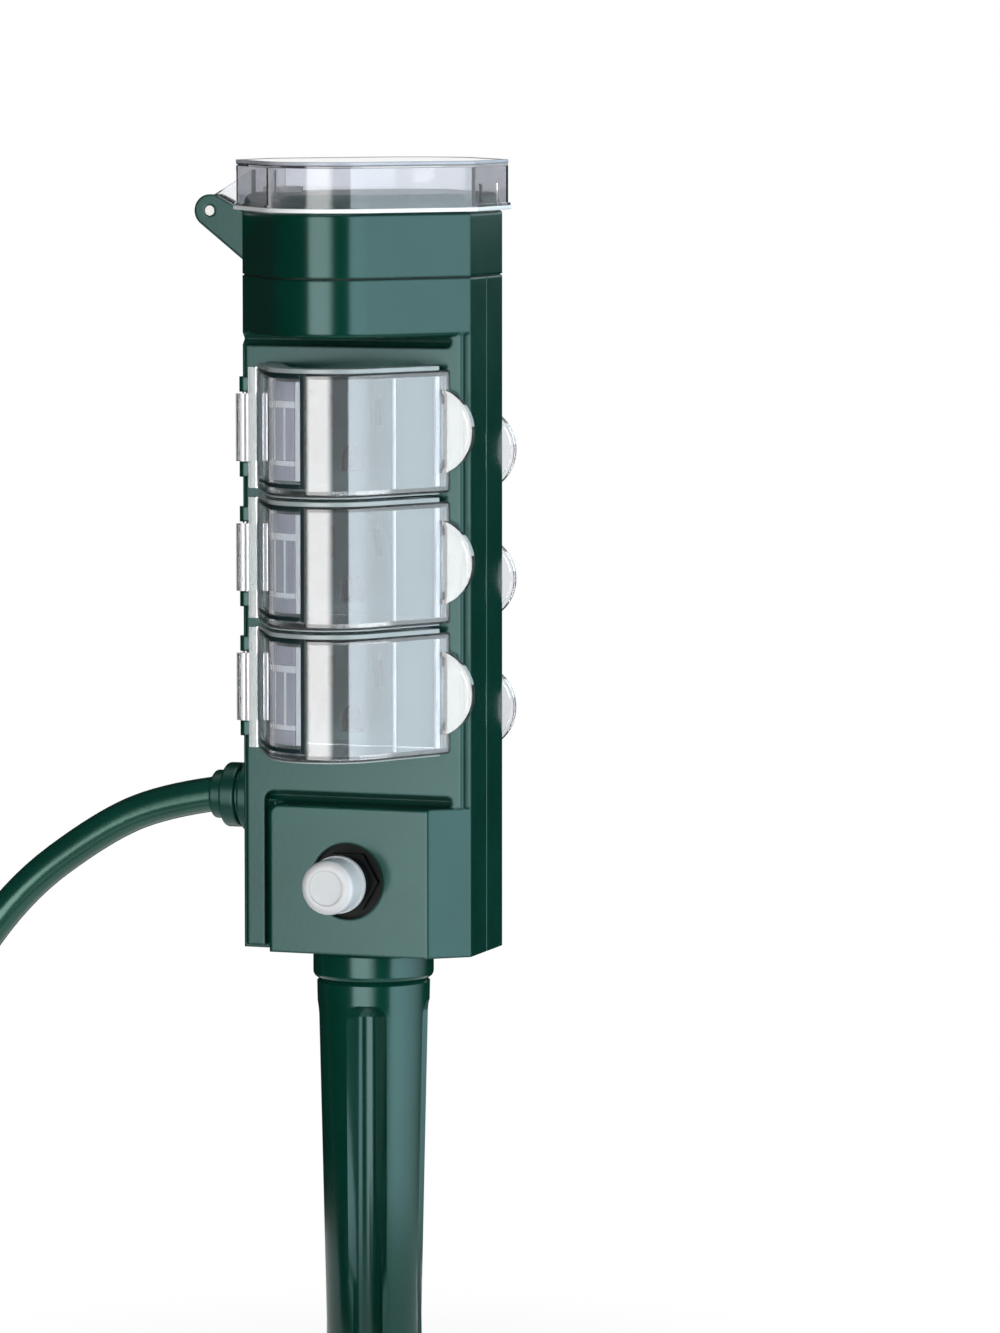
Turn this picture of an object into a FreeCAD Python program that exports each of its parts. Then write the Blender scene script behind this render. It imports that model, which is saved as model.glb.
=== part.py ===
"""Garden socket spike: a plastic post on a ground stake that carries six outdoor outlets.

Three outlets look forward and three look back, each under a clear cover hinged at the left
edge of the post. A reset button sits low at the front, a control deck under a clear
hinged lid closes the top, and a mains cord leaves through a gland in the left side wall.

Millimetres. X points right, Y points back, Z points up. The origin is on the stake's axis at
the ground line, so the lower half of the stake is below it.
"""
import FreeCAD, Part
import math
import os
import Sketcher
from FreeCAD import Rotation, Vector

SIZES = {
    # The post, measured up from its own underside
    "ground_gap": 120.0,
    "body_half": 31.8,
    "side_half": 12.4,
    "wall": 2.4,
    "head_depth": 15.1,
    "head_round": 1.6,
    "seam_round": 0.3,
    "pocket_skin": 2.0,
    "nose_centre": 30.0,
    "nose_radius": 15.8,
    "panel_inset": 1.3,
    "panel_face": 15.0,
    "panel_spare": 17.9,
    "panel_gap": 3.2,
    "panel_round": 0.8,
    "strip_width": 5.5,
    "strip_bottom": 1.0,
    "block_face": 20.0,
    "block_left": 22.0,
    "block_chamfer": 9.4,
    "block_top": 39.2,
    "block_round": 2.6,
    "block_edge": 0.8,
    "groove": 3.0,
    "groove_round": 2.6,
    "groove_end": 3.0,
    "room_inset": 5.4,
    # The screws that join the halves
    "screw_seat": 8.0,
    "screw_head_radius": 2.9,
    "screw_head_height": 2.0,
    "screw_radius": 1.5,
    "screw_reach": 10.0,
    "screw_play": 0.3,
    "boss_radius": 3.4,
    "tower_radius": 4.9,
    "low_screw_height": 8.0,
    "low_screw_inset": 5.5,
    "head_screw_drop": 7.6,
    "head_screw_inset": 9.8,
    "head_boss_depth": 23.6,
    # The six outlets
    "outlet_rise": 1.35,
    "outlet_pitch": 34.2,
    "back_drop": 6.5,
    "slot_spacing": 12.7,
    "slot_rise": 4.5,
    "slot_thick": 2.2,
    "live_slot": 7.0,
    "neutral_slot": 8.6,
    "earth_drop": 7.4,
    "earth_radius": 3.1,
    "earth_height": 7.0,
    "carrier_thick": 3.0,
    "carrier_half": 14.0,
    "jaw_depth": 6.0,
    "jaw_half": 3.2,
    "jaw_play": 0.1,
    "leaf_thick": 0.8,
    "divider_half": 1.5,
    "divider_play": 0.5,
    "divider_drop": 2.7,
    # The clear covers and their hinges
    "cover_height": 31.8,
    "cover_inset": 4.8,
    "cover_centre": 31.2,
    "cover_radius": 16.4,
    "cover_wall": 1.5,
    "cover_play": 0.3,
    "cover_round": 0.8,
    "tab_radius": 11.5,
    "tab_reach": 7.0,
    "bead_width": 1.2,
    "bead_height": 0.7,
    "hinge_inset": 0.8,
    "hinge_rise": 0.2,
    "knuckle_radius": 1.6,
    "knuckle_pitch": 22.4,
    "knuckle_length": 4.0,
    "hinge_pin_radius": 0.8,
    "pin_play": 0.05,
    "pocket_play": 0.5,
    # The control head, its deck and its lid
    "head_seal": 0.4,
    "cap_height": 16.6,
    "cap_round": 0.8,
    "deck_inset": 1.6,
    "deck_rise": 4.8,
    "deck_round": 3.0,
    "deck_plate": 2.0,
    "window_inset": 6.0,
    "skirt": 2.8,
    "post_radius": 2.2,
    "lid_overhang": 1.5,
    "lid_height": 13.2,
    "lid_play": 0.2,
    "lid_wall": 1.6,
    "rim_height": 1.8,
    "rim_stand": 0.6,
    "lid_round": 1.2,
    "lug_top": 14.0,
    "ear_thick": 3.0,
    "latch_height": 7.0,
    "eye_reach": 12.6,
    "eye_height": 16.2,
    "eye_radius": 4.3,
    "ear_radius": 3.4,
    "lug_thick": 2.2,
    "lid_pin_radius": 1.35,
    "latch_width": 12.0,
    "button_inset": 11.8,
    "button_y": 12.0,
    "button_radius": 4.4,
    "button_travel": 0.8,
    "button_rise": 1.6,
    "button_flange": 1.4,
    "switch_width": 6.0,
    "switch_case": 3.4,
    "plunger_radius": 1.6,
    "led_height": 1.8,
    "light_gap": 8.0,
    "light_radius": 1.5,
    "board_inset": 6.8,
    "board_half_y": 16.0,
    "board_thick": 1.6,
    "board_drop": 6.4,
    "relay_x": -14.0,
    "relay_length": 20.0,
    "relay_width": 16.0,
    "relay_height": 15.5,
    "capacitor_x": 14.0,
    "capacitor_radius": 5.0,
    "capacitor_height": 12.0,
    "radio_x": 2.0,
    "radio_length": 18.0,
    "radio_width": 12.0,
    "radio_thick": 3.0,
    # The reset button
    "reset_height": 19.5,
    "reset_hole": 10.0,
    "neck_radius": 6.2,
    "boot_radius": 7.15,
    "boot_front": 35.6,
    "boot_back": 26.0,
    "reset_radius": 4.6,
    "breaker_half": 10.0,
    "breaker_back": 2.0,
    "breaker_flange": 2.4,
    "nut_half": 8.4,
    "nut_thick": 2.0,
    "boot_wall": 1.0,
    "boot_round": 1.8,
    "boot_flare": 0.45,
    "boot_foot": 1.4,
    "boot_dish": 0.3,
    "terminal_x": 6.0,
    "terminal_width": 6.4,
    "terminal_length": 6.0,
    "terminal_thick": 0.8,
    "terminal_rise": 4.0,
    # The cord, its gland and its plug
    "gland_height": 39.0,
    "gland_radius": 9.75,
    "gland_collar": 3.7,
    "gland_groove_radius": 7.6,
    "gland_groove": 1.1,
    "gland_ring_radius": 8.6,
    "gland_ring": 4.4,
    "gland_tip_radius": 6.45,
    "gland_tip": 3.6,
    "gland_bore": 6.0,
    "gland_lip": 2.0,
    "gland_round": 0.7,
    "clamp_half": 7.5,
    "clamp_length": 5.0,
    "cord_radius": 4.65,
    "tail_length": 12.0,
    "coil_radius": 64.0,
    "coil_gap": 0.8,
    "coil_turns": 4.25,
    "coil_tail": 30.0,
    "plug_length": 34.0,
    "plug_relief": 20.0,
    "relief_wide": 2.6,
    "relief_thin": 0.5,
    "plug_round": 6.0,
    "plug_end_round": 2.5,
    "blade_line": 4.0,
    "plug_half": 14.0,
    "blade_length": 17.5,
    "blade_width": 6.35,
    "blade_thick": 1.5,
    "earth_pin_radius": 2.39,
    "earth_pin_length": 20.6,
    "earth_pin_drop": 11.9,
    # The stake
    "collar_radius": 16.0,
    "collar_height": 8.0,
    "collar_round": 1.6,
    "shaft_top": 15.0,
    "shaft_low": 11.0,
    "stake_length": 240.0,
    "tip_length": 46.0,
    "flute_radius": 4.2,
    "flute_offset": 13.6,
    "flute_start": 14.0,
    "flute_turn": 12.5,
    "spigot_radius": 10.0,
    "spigot_height": 8.0,
    "retainer_width": 1.3,
    "retainer_thick": 3.0,
}

doc = FreeCAD.newDocument("GardenSocketSpike")
sheet = doc.addObject("Spreadsheet::Sheet", "Sizes")
for row, (alias, number) in enumerate(SIZES.items(), start=1):
    sheet.set(f"A{row}", alias)
    sheet.set(f"B{row}", str(number))
    sheet.setAlias(f"B{row}", alias)
doc.recompute()

PIECES = []


class Size:
    """A length that knows both its number and the expression that ties it to the sheet."""

    def __init__(self, text, number):
        self.text = text
        self.number = number

    def __add__(self, other):
        other = size(other)
        return Size(f"({self.text} + {other.text})", self.number + other.number)

    def __sub__(self, other):
        other = size(other)
        return Size(f"({self.text} - {other.text})", self.number - other.number)

    def __mul__(self, factor):
        factor = size(factor)
        return Size(f"({self.text} * {factor.text})", self.number * factor.number)

    def __truediv__(self, factor):
        factor = size(factor)
        return Size(f"({self.text} / {factor.text})", self.number / factor.number)

    def __neg__(self):
        return Size(f"(0 - {self.text})", -self.number)

    __rmul__ = __mul__

    def __radd__(self, other):
        return size(other) + self

    def __rsub__(self, other):
        return size(other) - self


def size(value):
    """Turns a plain number into a Size and leaves a Size as it is."""
    if isinstance(value, Size):
        return value
    return Size(f"({value})", float(value))


class Sheet:
    """Reads a named cell of the sheet as a Size."""

    def __getattr__(self, alias):
        return Size(f"Sizes.{alias}", float(sheet.get(alias)))


cell = Sheet()


def bind(thing, path, length):
    """Ties one property of a document object to the sheet."""
    thing.setExpression(path, size(length).text)


# Drawing with sketches

PLANES = {"XY": "XY_Plane", "XZ": "XZ_Plane", "YZ": "YZ_Plane"}
ORIGIN, START, END, CENTRE = 1, 1, 2, 3


def flip(path):
    """Mirrors a front outline to the back of the post, keeping it counter-clockwise."""
    return [(item[0], -size(item[1]), *item[2:]) for item in reversed(path)]


def sided(path, side):
    """Gives the outline of the front for side -1 and its mirror image for side 1."""
    return path if side < 0 else flip(path)


def settle(sketch, number, point, x, y):
    """Holds one point of a sketch at its distances from the origin."""
    for kind, axis, value in (("DistanceX", -2, x), ("DistanceY", -1, y)):
        if value.number == 0:
            sketch.addConstraint(Sketcher.Constraint("PointOnObject", number, point, axis))
        else:
            made = sketch.addConstraint(
                Sketcher.Constraint(kind, -1, ORIGIN, number, point, value.number)
            )
            sketch.setExpression(f"Constraints[{made}]", value.text)


def outline(sketch, path):
    """Draws a closed outline, counter-clockwise, from corners (x, y) and rounds (x, y, radius).

    A round is an arc about that centre, tangent to the lines on both sides of it. One round
    alone is a circle. A negative radius makes a hollow arc.
    """
    spots = [(size(i[0]), size(i[1]), size(i[2]) if len(i) > 2 else size(0)) for i in path]
    if len(spots) == 1:
        x, y, radius = spots[0]
        ring = sketch.addGeometry(
            Part.Circle(Vector(x.number, y.number), Vector(0, 0, 1), radius.number)
        )
        settle(sketch, ring, CENTRE, x, y)
        made = sketch.addConstraint(Sketcher.Constraint("Radius", ring, radius.number))
        sketch.setExpression(f"Constraints[{made}]", radius.text)
        return
    count = len(spots)
    normals = []
    lines = []
    for i, (x, y, radius) in enumerate(spots):
        far_x, far_y, far_radius = spots[(i + 1) % count]
        across = Vector(far_x.number - x.number, far_y.number - y.number)
        heading = math.atan2(across.y, across.x)
        turn = math.acos((radius.number - far_radius.number) / across.Length)
        normal = Vector(math.cos(heading - turn), math.sin(heading - turn))
        first = Vector(x.number, y.number) + normal * radius.number
        last = Vector(far_x.number, far_y.number) + normal * far_radius.number
        normals.append(heading - turn)
        lines.append(sketch.addGeometry(Part.LineSegment(first, last)))
    for i, (x, y, radius) in enumerate(spots):
        before, after = lines[i - 1], lines[i]
        if radius.number == 0:
            sketch.addConstraint(Sketcher.Constraint("Coincident", before, END, after, START))
            settle(sketch, after, START, x, y)
            continue
        hollow = radius.number < 0
        begin, finish = normals[i - 1], normals[i]
        if hollow:
            begin, finish = finish + math.pi, begin + math.pi
        while finish < begin:
            finish += 2 * math.pi
        circle = Part.Circle(
            Vector(x.number, y.number), Vector(0, 0, 1), abs(radius.number)
        )
        arc = sketch.addGeometry(Part.ArcOfCircle(circle, begin, finish))
        ends = (END, START) if hollow else (START, END)
        sketch.addConstraint(Sketcher.Constraint("Tangent", before, END, arc, ends[0]))
        sketch.addConstraint(Sketcher.Constraint("Tangent", after, START, arc, ends[1]))
        settle(sketch, arc, CENTRE, x, y)
        made = sketch.addConstraint(Sketcher.Constraint("Radius", arc, abs(radius.number)))
        sketch.setExpression(f"Constraints[{made}]", (-radius if hollow else radius).text)


def sketched(body, name, paths, plane, low):
    """Puts a sketch of closed outlines on one of a body's own planes, moved out to low."""
    sketch = body.newObject("Sketcher::SketchObject", f"{body.Name}_{name}_sketch")
    flat = [f for f in body.Origin.OriginFeatures if f.Role == PLANES[plane]][0]
    sketch.AttachmentSupport = (flat, [""])
    sketch.MapMode = "FlatFace"
    lift = -size(low) if plane == "XZ" else size(low)
    bind(sketch, ".AttachmentOffset.Base.z", lift)
    for path in paths:
        outline(sketch, path)
    return sketch


def extruded(kind, body, name, paths, low, high, plane):
    """Adds a pad or a pocket that runs from low to high along the plane's axis."""
    sketch = sketched(body, name, paths, plane, low)
    feature = body.newObject(kind, f"{body.Name}_{name}")
    feature.Profile = sketch
    bind(feature, "Length", size(high) - low)
    grows_along_normal = kind == "PartDesign::Pad"
    feature.Reversed = (plane == "XZ") == grows_along_normal
    return feature


def pad(body, name, paths, low, high, plane="XY"):
    """Adds material between low and high."""
    return extruded("PartDesign::Pad", body, name, paths, low, high, plane)


def pocket(body, name, paths, low, high, plane="XY"):
    """Takes material away between low and high."""
    return extruded("PartDesign::Pocket", body, name, paths, low, high, plane)


def revolved(body, name, path):
    """Turns an outline of the XZ plane about the Z axis."""
    feature = body.newObject("PartDesign::Revolution", f"{body.Name}_{name}")
    feature.Profile = sketched(body, name, [path], "XZ", 0)
    feature.ReferenceAxis = (feature.Profile[0], ["V_Axis"])
    feature.Angle = 360
    return feature


def rectangle(left, right, low, high):
    """Gives the four corners of a rectangle."""
    return [(left, low), (right, low), (right, high), (left, high)]


def new_body(name):
    """Starts a sub-part that is drawn from the underside of the post."""
    body = doc.addObject("PartDesign::Body", name)
    body.Label = name
    bind(body, ".Placement.Base.z", cell.ground_gap)
    PIECES.append(body)
    return body


# Building with primitives and booleans

def block(name, low, high):
    """Makes a box from its lowest to its highest corner, given as three sizes each."""
    thing = doc.addObject("Part::Box", name)
    for side, axis, first, last in zip(("Length", "Width", "Height"), "xyz", low, high):
        bind(thing, side, size(last) - first)
        bind(thing, f".Placement.Base.{axis}", first)
    return thing


TURNS = {
    "x": Rotation(Vector(0, 1, 0), 90),
    "y": Rotation(Vector(1, 0, 0), -90),
    "z": Rotation(),
}


def rod(name, radius, low, length, axis="z"):
    """Makes a cylinder that grows from low along one axis."""
    thing = doc.addObject("Part::Cylinder", name)
    thing.Placement = FreeCAD.Placement(Vector(), TURNS[axis])
    bind(thing, "Radius", radius)
    bind(thing, "Height", length)
    for letter, value in zip("xyz", low):
        bind(thing, f".Placement.Base.{letter}", value)
    return thing


def cone(name, first_radius, last_radius, low, length, axis="z"):
    """Makes a cone that grows from low along one axis."""
    thing = doc.addObject("Part::Cone", name)
    thing.Placement = FreeCAD.Placement(Vector(), TURNS[axis])
    bind(thing, "Radius1", first_radius)
    bind(thing, "Radius2", last_radius)
    bind(thing, "Height", length)
    for letter, value in zip("xyz", low):
        bind(thing, f".Placement.Base.{letter}", value)
    return thing


def fuse(name, things):
    """Joins several solids into one."""
    joined = doc.addObject("Part::MultiFuse", name)
    joined.Shapes = things
    joined.Refine = True
    return joined


def group(name, things):
    """Keeps several identical solids together as one sub-part."""
    together = doc.addObject("Part::Compound", name)
    together.Links = things
    return together


def cut(name, base, things):
    """Takes one or more solids away from another."""
    tool = things[0] if len(things) == 1 else fuse(f"{name}_tools", things)
    rest = doc.addObject("Part::Cut", name)
    rest.Base = base
    rest.Tool = tool
    rest.Refine = True
    return rest


def finished(thing, name):
    """Names a sub-part built from primitives and lifts it with the post above the ground."""
    thing.Label = name
    own = [text for path, text in thing.ExpressionEngine if path.endswith("Placement.Base.z")]
    thing.setExpression(".Placement.Base.z", " + ".join(own + [cell.ground_gap.text]))
    PIECES.append(thing)
    return thing


# Places worked out from the sizes

OUTLETS = {"top": 1, "middle": 0, "bottom": -1}
SIDES = {"front": -1, "back": 1}

panel_half = cell.body_half - cell.panel_inset
panel_bottom = cell.block_top + cell.groove
panel_height = cell.outlet_pitch * len(OUTLETS) + cell.panel_spare
head_bottom = panel_bottom + panel_height
body_height = head_bottom + cell.head_depth
outlet_middle = panel_bottom + panel_height / 2 + cell.outlet_rise


def outlet_height(side, place):
    """Height of an outlet's middle; the back row sits a little lower than the front row."""
    height = outlet_middle + cell.outlet_pitch * OUTLETS[place]
    return height if side < 0 else height - cell.back_drop


cap_bottom = body_height + cell.head_seal
cap_top = cap_bottom + cell.cap_height
deck_top = cap_top + cell.deck_rise
lid_top = cap_top + cell.lid_height
eye_z = cap_bottom + cell.eye_height
cover_rim = cell.panel_face + cell.cover_play
hinge_x = cell.body_half - cell.hinge_inset
hinge_y = cell.side_half + cell.hinge_rise
pocket_floor = hinge_y - cell.knuckle_radius - cell.pocket_play
pocket_wall = hinge_x - cell.knuckle_radius - cell.pocket_play
core_half = pocket_floor - cell.pocket_skin
cover_half = cell.body_half - cell.cover_inset
eye_x = cell.body_half + cell.eye_reach
lug_near = cell.ear_thick / 2 + cell.cover_play
lug_far = lug_near + cell.lug_thick
carrier_back = cell.panel_face - cell.wall - cell.carrier_thick


def nosed(inset, side=None):
    """Outline of the head, moved in by inset: both noses, or only the half on one side."""
    half = cell.body_half - inset
    corner = cell.side_half - size(inset) / 3
    radius = cell.nose_radius - inset
    front = [(-half, -corner), (0, -cell.nose_centre, radius), (half, -corner)]
    if side is None:
        return front + flip(front)
    return sided([(-half, 0)] + front + [(half, 0)], side)


# Rounding edges

def round_edges(body, name, radius, chosen):
    """Fillets the edges of a body for which chosen(edge) is true."""
    doc.recompute()
    base = body.Tip
    names = [f"Edge{i}" for i, edge in enumerate(base.Shape.Edges, start=1) if chosen(edge)]
    feature = body.newObject("PartDesign::Fillet", f"{body.Name}_{name}")
    feature.Base = (base, names)
    bind(feature, "Radius", radius)
    body.Tip = feature
    return feature


def at_height(level):
    """Chooses the edges that lie wholly at one height of their body."""
    def chosen(edge):
        return all(abs(v.Z - level.number) < 1e-4 for v in edge.Vertexes)
    return chosen


def at_depth(level):
    """Chooses the edges that lie wholly at one distance in front of the mid-plane."""
    def chosen(edge):
        return all(abs(v.Y + level.number) < 1e-4 for v in edge.Vertexes)
    return chosen


def at_end(*places):
    """Chooses the edges that lie wholly at one of these places along X."""
    def chosen(edge):
        return any(all(abs(v.X - place.number) < 1e-4 for v in edge.Vertexes)
                   for place in places)
    return chosen


def lower_rim(level, depth):
    """Chooses the edges at one height that stand out beyond a depth."""
    def chosen(edge):
        at_level = all(abs(v.Z - level.number) < 1e-4 for v in edge.Vertexes)
        return at_level and max(abs(v.Y) for v in edge.Vertexes) > depth.number + 1e-3
    return chosen


def block_front(face, side):
    """Chooses the edges round the block's front face, apart from its lower one."""
    def chosen(edge):
        at_face = all(abs(v.Y - side * face.number) < 1e-4 for v in edge.Vertexes)
        return at_face and max(v.Z for v in edge.Vertexes) > 1e-3
    return chosen


def seam_edges(half):
    """Chooses the upright edges along which the two halves of the post meet."""
    def chosen(edge):
        return all(abs(v.Y) < 1e-6 and abs(abs(v.X) - half.number) < 1e-4
                   for v in edge.Vertexes)
    return chosen


# The two housing halves

low_x, low_z = cell.block_left - cell.low_screw_inset, cell.low_screw_height
head_x, head_z = cell.body_half - cell.head_screw_inset, body_height - cell.head_screw_drop
SCREW_SPOTS = {"low_left": (-low_x, low_z), "low_right": (low_x, low_z),
               "head_left": (-head_x, head_z), "head_right": (head_x, head_z)}


def slot_paths(side, place):
    """Outlines of one outlet's two blade slots and its earth hole, seen from the front."""
    middle = outlet_height(side, place)
    line = middle + cell.slot_rise
    half_gap = cell.slot_spacing / 2
    paths = []
    for hand, tall in ((side, cell.live_slot), (-side, cell.neutral_slot)):
        x = half_gap * -hand
        paths.append(rectangle(x - cell.slot_thick / 2, x + cell.slot_thick / 2,
                               line - tall / 2, line + tall / 2))
    earth = middle - cell.earth_drop
    floor = earth - cell.earth_height / 2
    paths.append([(-cell.earth_radius, floor), (cell.earth_radius, floor),
                  (0, floor + cell.earth_height - cell.earth_radius, cell.earth_radius)])
    return paths


def depths(side, near, far):
    """Turns two distances from the mid-plane into the lower and the higher Y."""
    return (-size(far), -size(near)) if side < 0 else (size(near), size(far))


def housing(name, side):
    """Half of the post: side walls, socket panel, nosed head and the block round the button."""
    body = new_body(name)
    half, corner, wall = cell.body_half, cell.side_half, cell.wall
    panel, face, top = cell.panel_face, cell.block_face, cell.block_top
    inner = corner - 1

    pad(body, "walls", [sided([(-half, 0), (-half, -corner), (half, -corner), (half, 0)], side)],
        0, body_height)
    pad(body, "head", [nosed(0, side)], head_bottom, body_height)
    round_edges(body, "head_round", cell.head_round, lower_rim(head_bottom, corner))
    bend = cell.panel_round
    left_round, right_round = (bend - panel_half, bend - panel, bend), \
        (panel_half - bend, bend - panel, bend)
    pad(body, "panel", [sided([(-panel_half, -inner), left_round, right_round,
                               (panel_half, -inner)], side)], top, head_bottom + 0.5)
    strip = cell.strip_width - panel_half
    pad(body, "strip", [sided([(-panel_half, -inner), left_round, (strip, -panel),
                               (strip, -inner)], side)], cell.strip_bottom, top + 0.5)
    left = -cell.block_left
    bend, tip = cell.groove_round, cell.groove / 2
    groove = [(strip, top - 1), (left, top - 1), (left, top),
              (panel_half - cell.groove_end - tip, top + tip, tip),
              (strip + bend, panel_bottom - bend, bend)]
    pocket(body, "groove", [groove], *depths(side, corner, panel + 1), "XZ")
    tip = cell.panel_gap / 2
    gap = [(-half - 1, head_bottom - cell.panel_gap),
           (panel_half - cell.groove_end - tip, head_bottom - tip, tip), (-half - 1, head_bottom)]
    pocket(body, "head_gap", [gap], *depths(side, corner, panel + 1), "XZ")
    recess_floors(body, side, strip, left)
    low, high = depths(side, inner, face)
    pad(body, "block", [[(left, 0), (half, 0), (half, top),
                         (left + cell.block_round, top - cell.block_round, cell.block_round)]],
        low, high, "XZ")
    flat = half - cell.block_chamfer
    pocket(body, "chamfer", [sided([(flat, -face), (flat, -face - 1), (half + 1, -face - 1),
                                    (half + 1, -corner), (half, -corner)], side)], -1, top)
    round_edges(body, "block_edge", cell.block_edge, block_front(face, side))
    round_edges(body, "seam", cell.seam_round, seam_edges(half))

    pocket(body, "hollow", [sided(rectangle(wall - half, half - wall, -core_half, 1), side)],
           wall, body_height + 1)
    room = half - cell.room_inset
    panel_room = rectangle(-room, room, -(panel - wall), 1)
    pocket(body, "panel_hollow", [sided(panel_room, side)],
           panel_bottom + wall, head_bottom - cell.panel_gap - wall)
    block_room = rectangle(wall - cell.block_left, cell.block_left - wall, -(face - wall), 1)
    pocket(body, "block_hollow", [sided(block_room, side)], wall, top - wall)
    pocket(body, "head_hollow", [nosed(wall, side)], head_bottom + wall,
           body_height + 1)

    for place in OUTLETS:
        pocket(body, f"slots_{place}", slot_paths(side, place),
               *depths(side, panel - wall - 1, panel + 1), "XZ")
        hinge_pocket(body, side, place)
    screw_bosses(body, side)
    if side < 0:
        pocket(body, "reset_hole", [[(0, cell.reset_height, cell.reset_hole)]],
               *depths(side, face - wall - 1, face + 1), "XZ")
    pocket(body, "gland_hole", [[(0, cell.gland_height, cell.gland_bore)]],
           -half - 1, wall - half + 0.5, "YZ")
    pocket(body, "stake_hole", [[(0, 0, cell.spigot_radius + cell.pin_play)]], -1, wall + 0.5)


def recess_floors(body, side, strip, left):
    """Cuts the floors of the three shadow gaps round the panel and the block to a V."""
    outer, deep = cell.side_half, core_half + cell.wall
    right, top = panel_half - cell.groove_end, cell.block_top
    gap_low = head_bottom - cell.panel_gap
    for name, low, high, start in (("groove_floor", top, panel_bottom, strip),
                                   ("gap_floor", gap_low, head_bottom, -cell.body_half - 1)):
        pocket(body, name, [[(outer * side, low), (deep * side, (low + high) / 2),
                             (outer * side, high)]], start, right, "YZ")
    pocket(body, "strip_floor", [sided([(strip, -outer), (left, -outer),
                                        ((strip + left) / 2, -deep)], side)], -1, top)


def hinge_pocket(body, side, place):
    """Cuts a cover's hinge into the post's corner and leaves its two knuckles."""
    middle = outlet_height(side, place)
    reach = (cell.knuckle_pitch + cell.knuckle_length) / 2
    inner = reach - cell.knuckle_length
    corner = rectangle(-cell.body_half - 1, -pocket_wall, -cell.panel_face - 1, -pocket_floor)
    pocket(body, f"hinge_pocket_{place}", [sided(corner, side)], middle - reach, middle + reach)
    web = cell.knuckle_radius * 0.75
    root = 0.3 - pocket_wall
    knuckle = sided([(root, -hinge_y - web), (root, web - hinge_y),
                     (-hinge_x, -hinge_y, cell.knuckle_radius)], side)
    pad(body, f"knuckle_high_{place}", [knuckle], middle + inner, middle + reach)
    pad(body, f"knuckle_low_{place}", [knuckle], middle - reach, middle - inner)
    pin_hole = sided([(-hinge_x, -hinge_y, cell.hinge_pin_radius)], side)
    pocket(body, f"pin_hole_{place}", [pin_hole], middle - reach, middle + reach)


def screw_bosses(body, side):
    """Adds the four posts that hold the halves together, with the screws' way in at the back."""
    seat, thread = cell.screw_seat, cell.screw_radius
    roots = {spot: cell.block_face - cell.wall if spot.startswith("low") else cell.head_boss_depth
             for spot in SCREW_SPOTS}
    radius = cell.boss_radius if side < 0 else cell.tower_radius
    for spot, (x, height) in SCREW_SPOTS.items():
        pad(body, f"boss_{spot}", [[(x, height, radius)]],
            *depths(side, 0, roots[spot] + 0.2), "XZ")
    around = sided(rectangle(-cell.nose_centre * 2, cell.nose_centre * 2,
                             -cell.nose_centre * 2, 1), side)
    pocket(body, "boss_trim", [around, nosed(0, side)], head_bottom, body_height)
    for spot, (x, height) in SCREW_SPOTS.items():
        if side < 0:
            pocket(body, f"pilot_{spot}", [[(x, height, thread)]],
                   *depths(side, -1, cell.screw_reach + 1), "XZ")
        else:
            pocket(body, f"well_{spot}", [[(x, height, cell.screw_head_radius + cell.screw_play)]],
                   *depths(side, seat, roots[spot] + seat), "XZ")
            pocket(body, f"shank_hole_{spot}", [[(x, height, thread + cell.screw_play / 3)]],
                   *depths(side, -1, seat + 1), "XZ")


def housing_screws():
    """Four screws that come in from the back and draw the halves together."""
    screws = []
    for spot, (x, height) in SCREW_SPOTS.items():
        shank = rod(f"shank_{spot}", cell.screw_radius, (x, -cell.screw_reach, height),
                    cell.screw_reach + cell.screw_seat, "y")
        head = rod(f"head_{spot}", cell.screw_head_radius, (x, cell.screw_seat, height),
                   cell.screw_head_height, "y")
        screws.append(fuse(f"screw_{spot}", [shank, head]))
    finished(group("housing_screw_group", screws), "housing_screws")


# The control head and what is in it

def control_head():
    """Cap over the post: an open-bottomed tube with a window, a skirt and the lid's two lugs."""
    body = new_body("control_head")
    wall = cell.wall
    pad(body, "shell", [nosed(0)], cap_bottom, cap_top)
    round_edges(body, "upper_round", cell.cap_round, at_height(cap_top))
    pocket(body, "hollow", [nosed(wall)], cap_bottom - 1, cap_top - wall)
    pocket(body, "window", [nosed(cell.window_inset)], cap_top - wall - 1, cap_top + 1)
    pad(body, "skirt_root", [nosed(wall - 0.5), nosed(wall + 1.5)], cap_bottom, cap_bottom + 2)
    pad(body, "skirt", [nosed(wall + 0.1), nosed(wall + 1.5)], cap_bottom - cell.skirt,
        cap_bottom + 1)
    side = -cell.body_half
    lug = [(side + 1, cap_bottom), (side + 1, cap_bottom + cell.lug_top),
           (-eye_x, eye_z, cell.eye_radius)]
    for number, sign in enumerate((-1, 1)):
        pad(body, f"lug_{number}", [lug], *depths(sign, lug_near, lug_far), "XZ")
    eye = [(-eye_x, eye_z, cell.lid_pin_radius + cell.pin_play)]
    pocket(body, "eyes", [eye], -lug_far - 1, lug_far + 1, "XZ")


def head_gasket():
    """Thin seal between the post and its cap."""
    body = new_body("head_gasket")
    pad(body, "ring", [nosed(0.4), nosed(cell.wall)], body_height, cap_bottom)


DECK_POSTS = [(-18.0, 10.0), (18.0, 10.0), (18.0, -10.0), (-5.0, -13.0)]
button_x = cell.button_inset - cell.body_half
light_x = button_x + cell.light_gap
board_half = cell.body_half - cell.board_inset
board_top = cap_top - cell.board_drop
board_low = board_top - cell.board_thick
plate_low = deck_top - cell.deck_plate
led_top = board_top + cell.led_height


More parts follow.
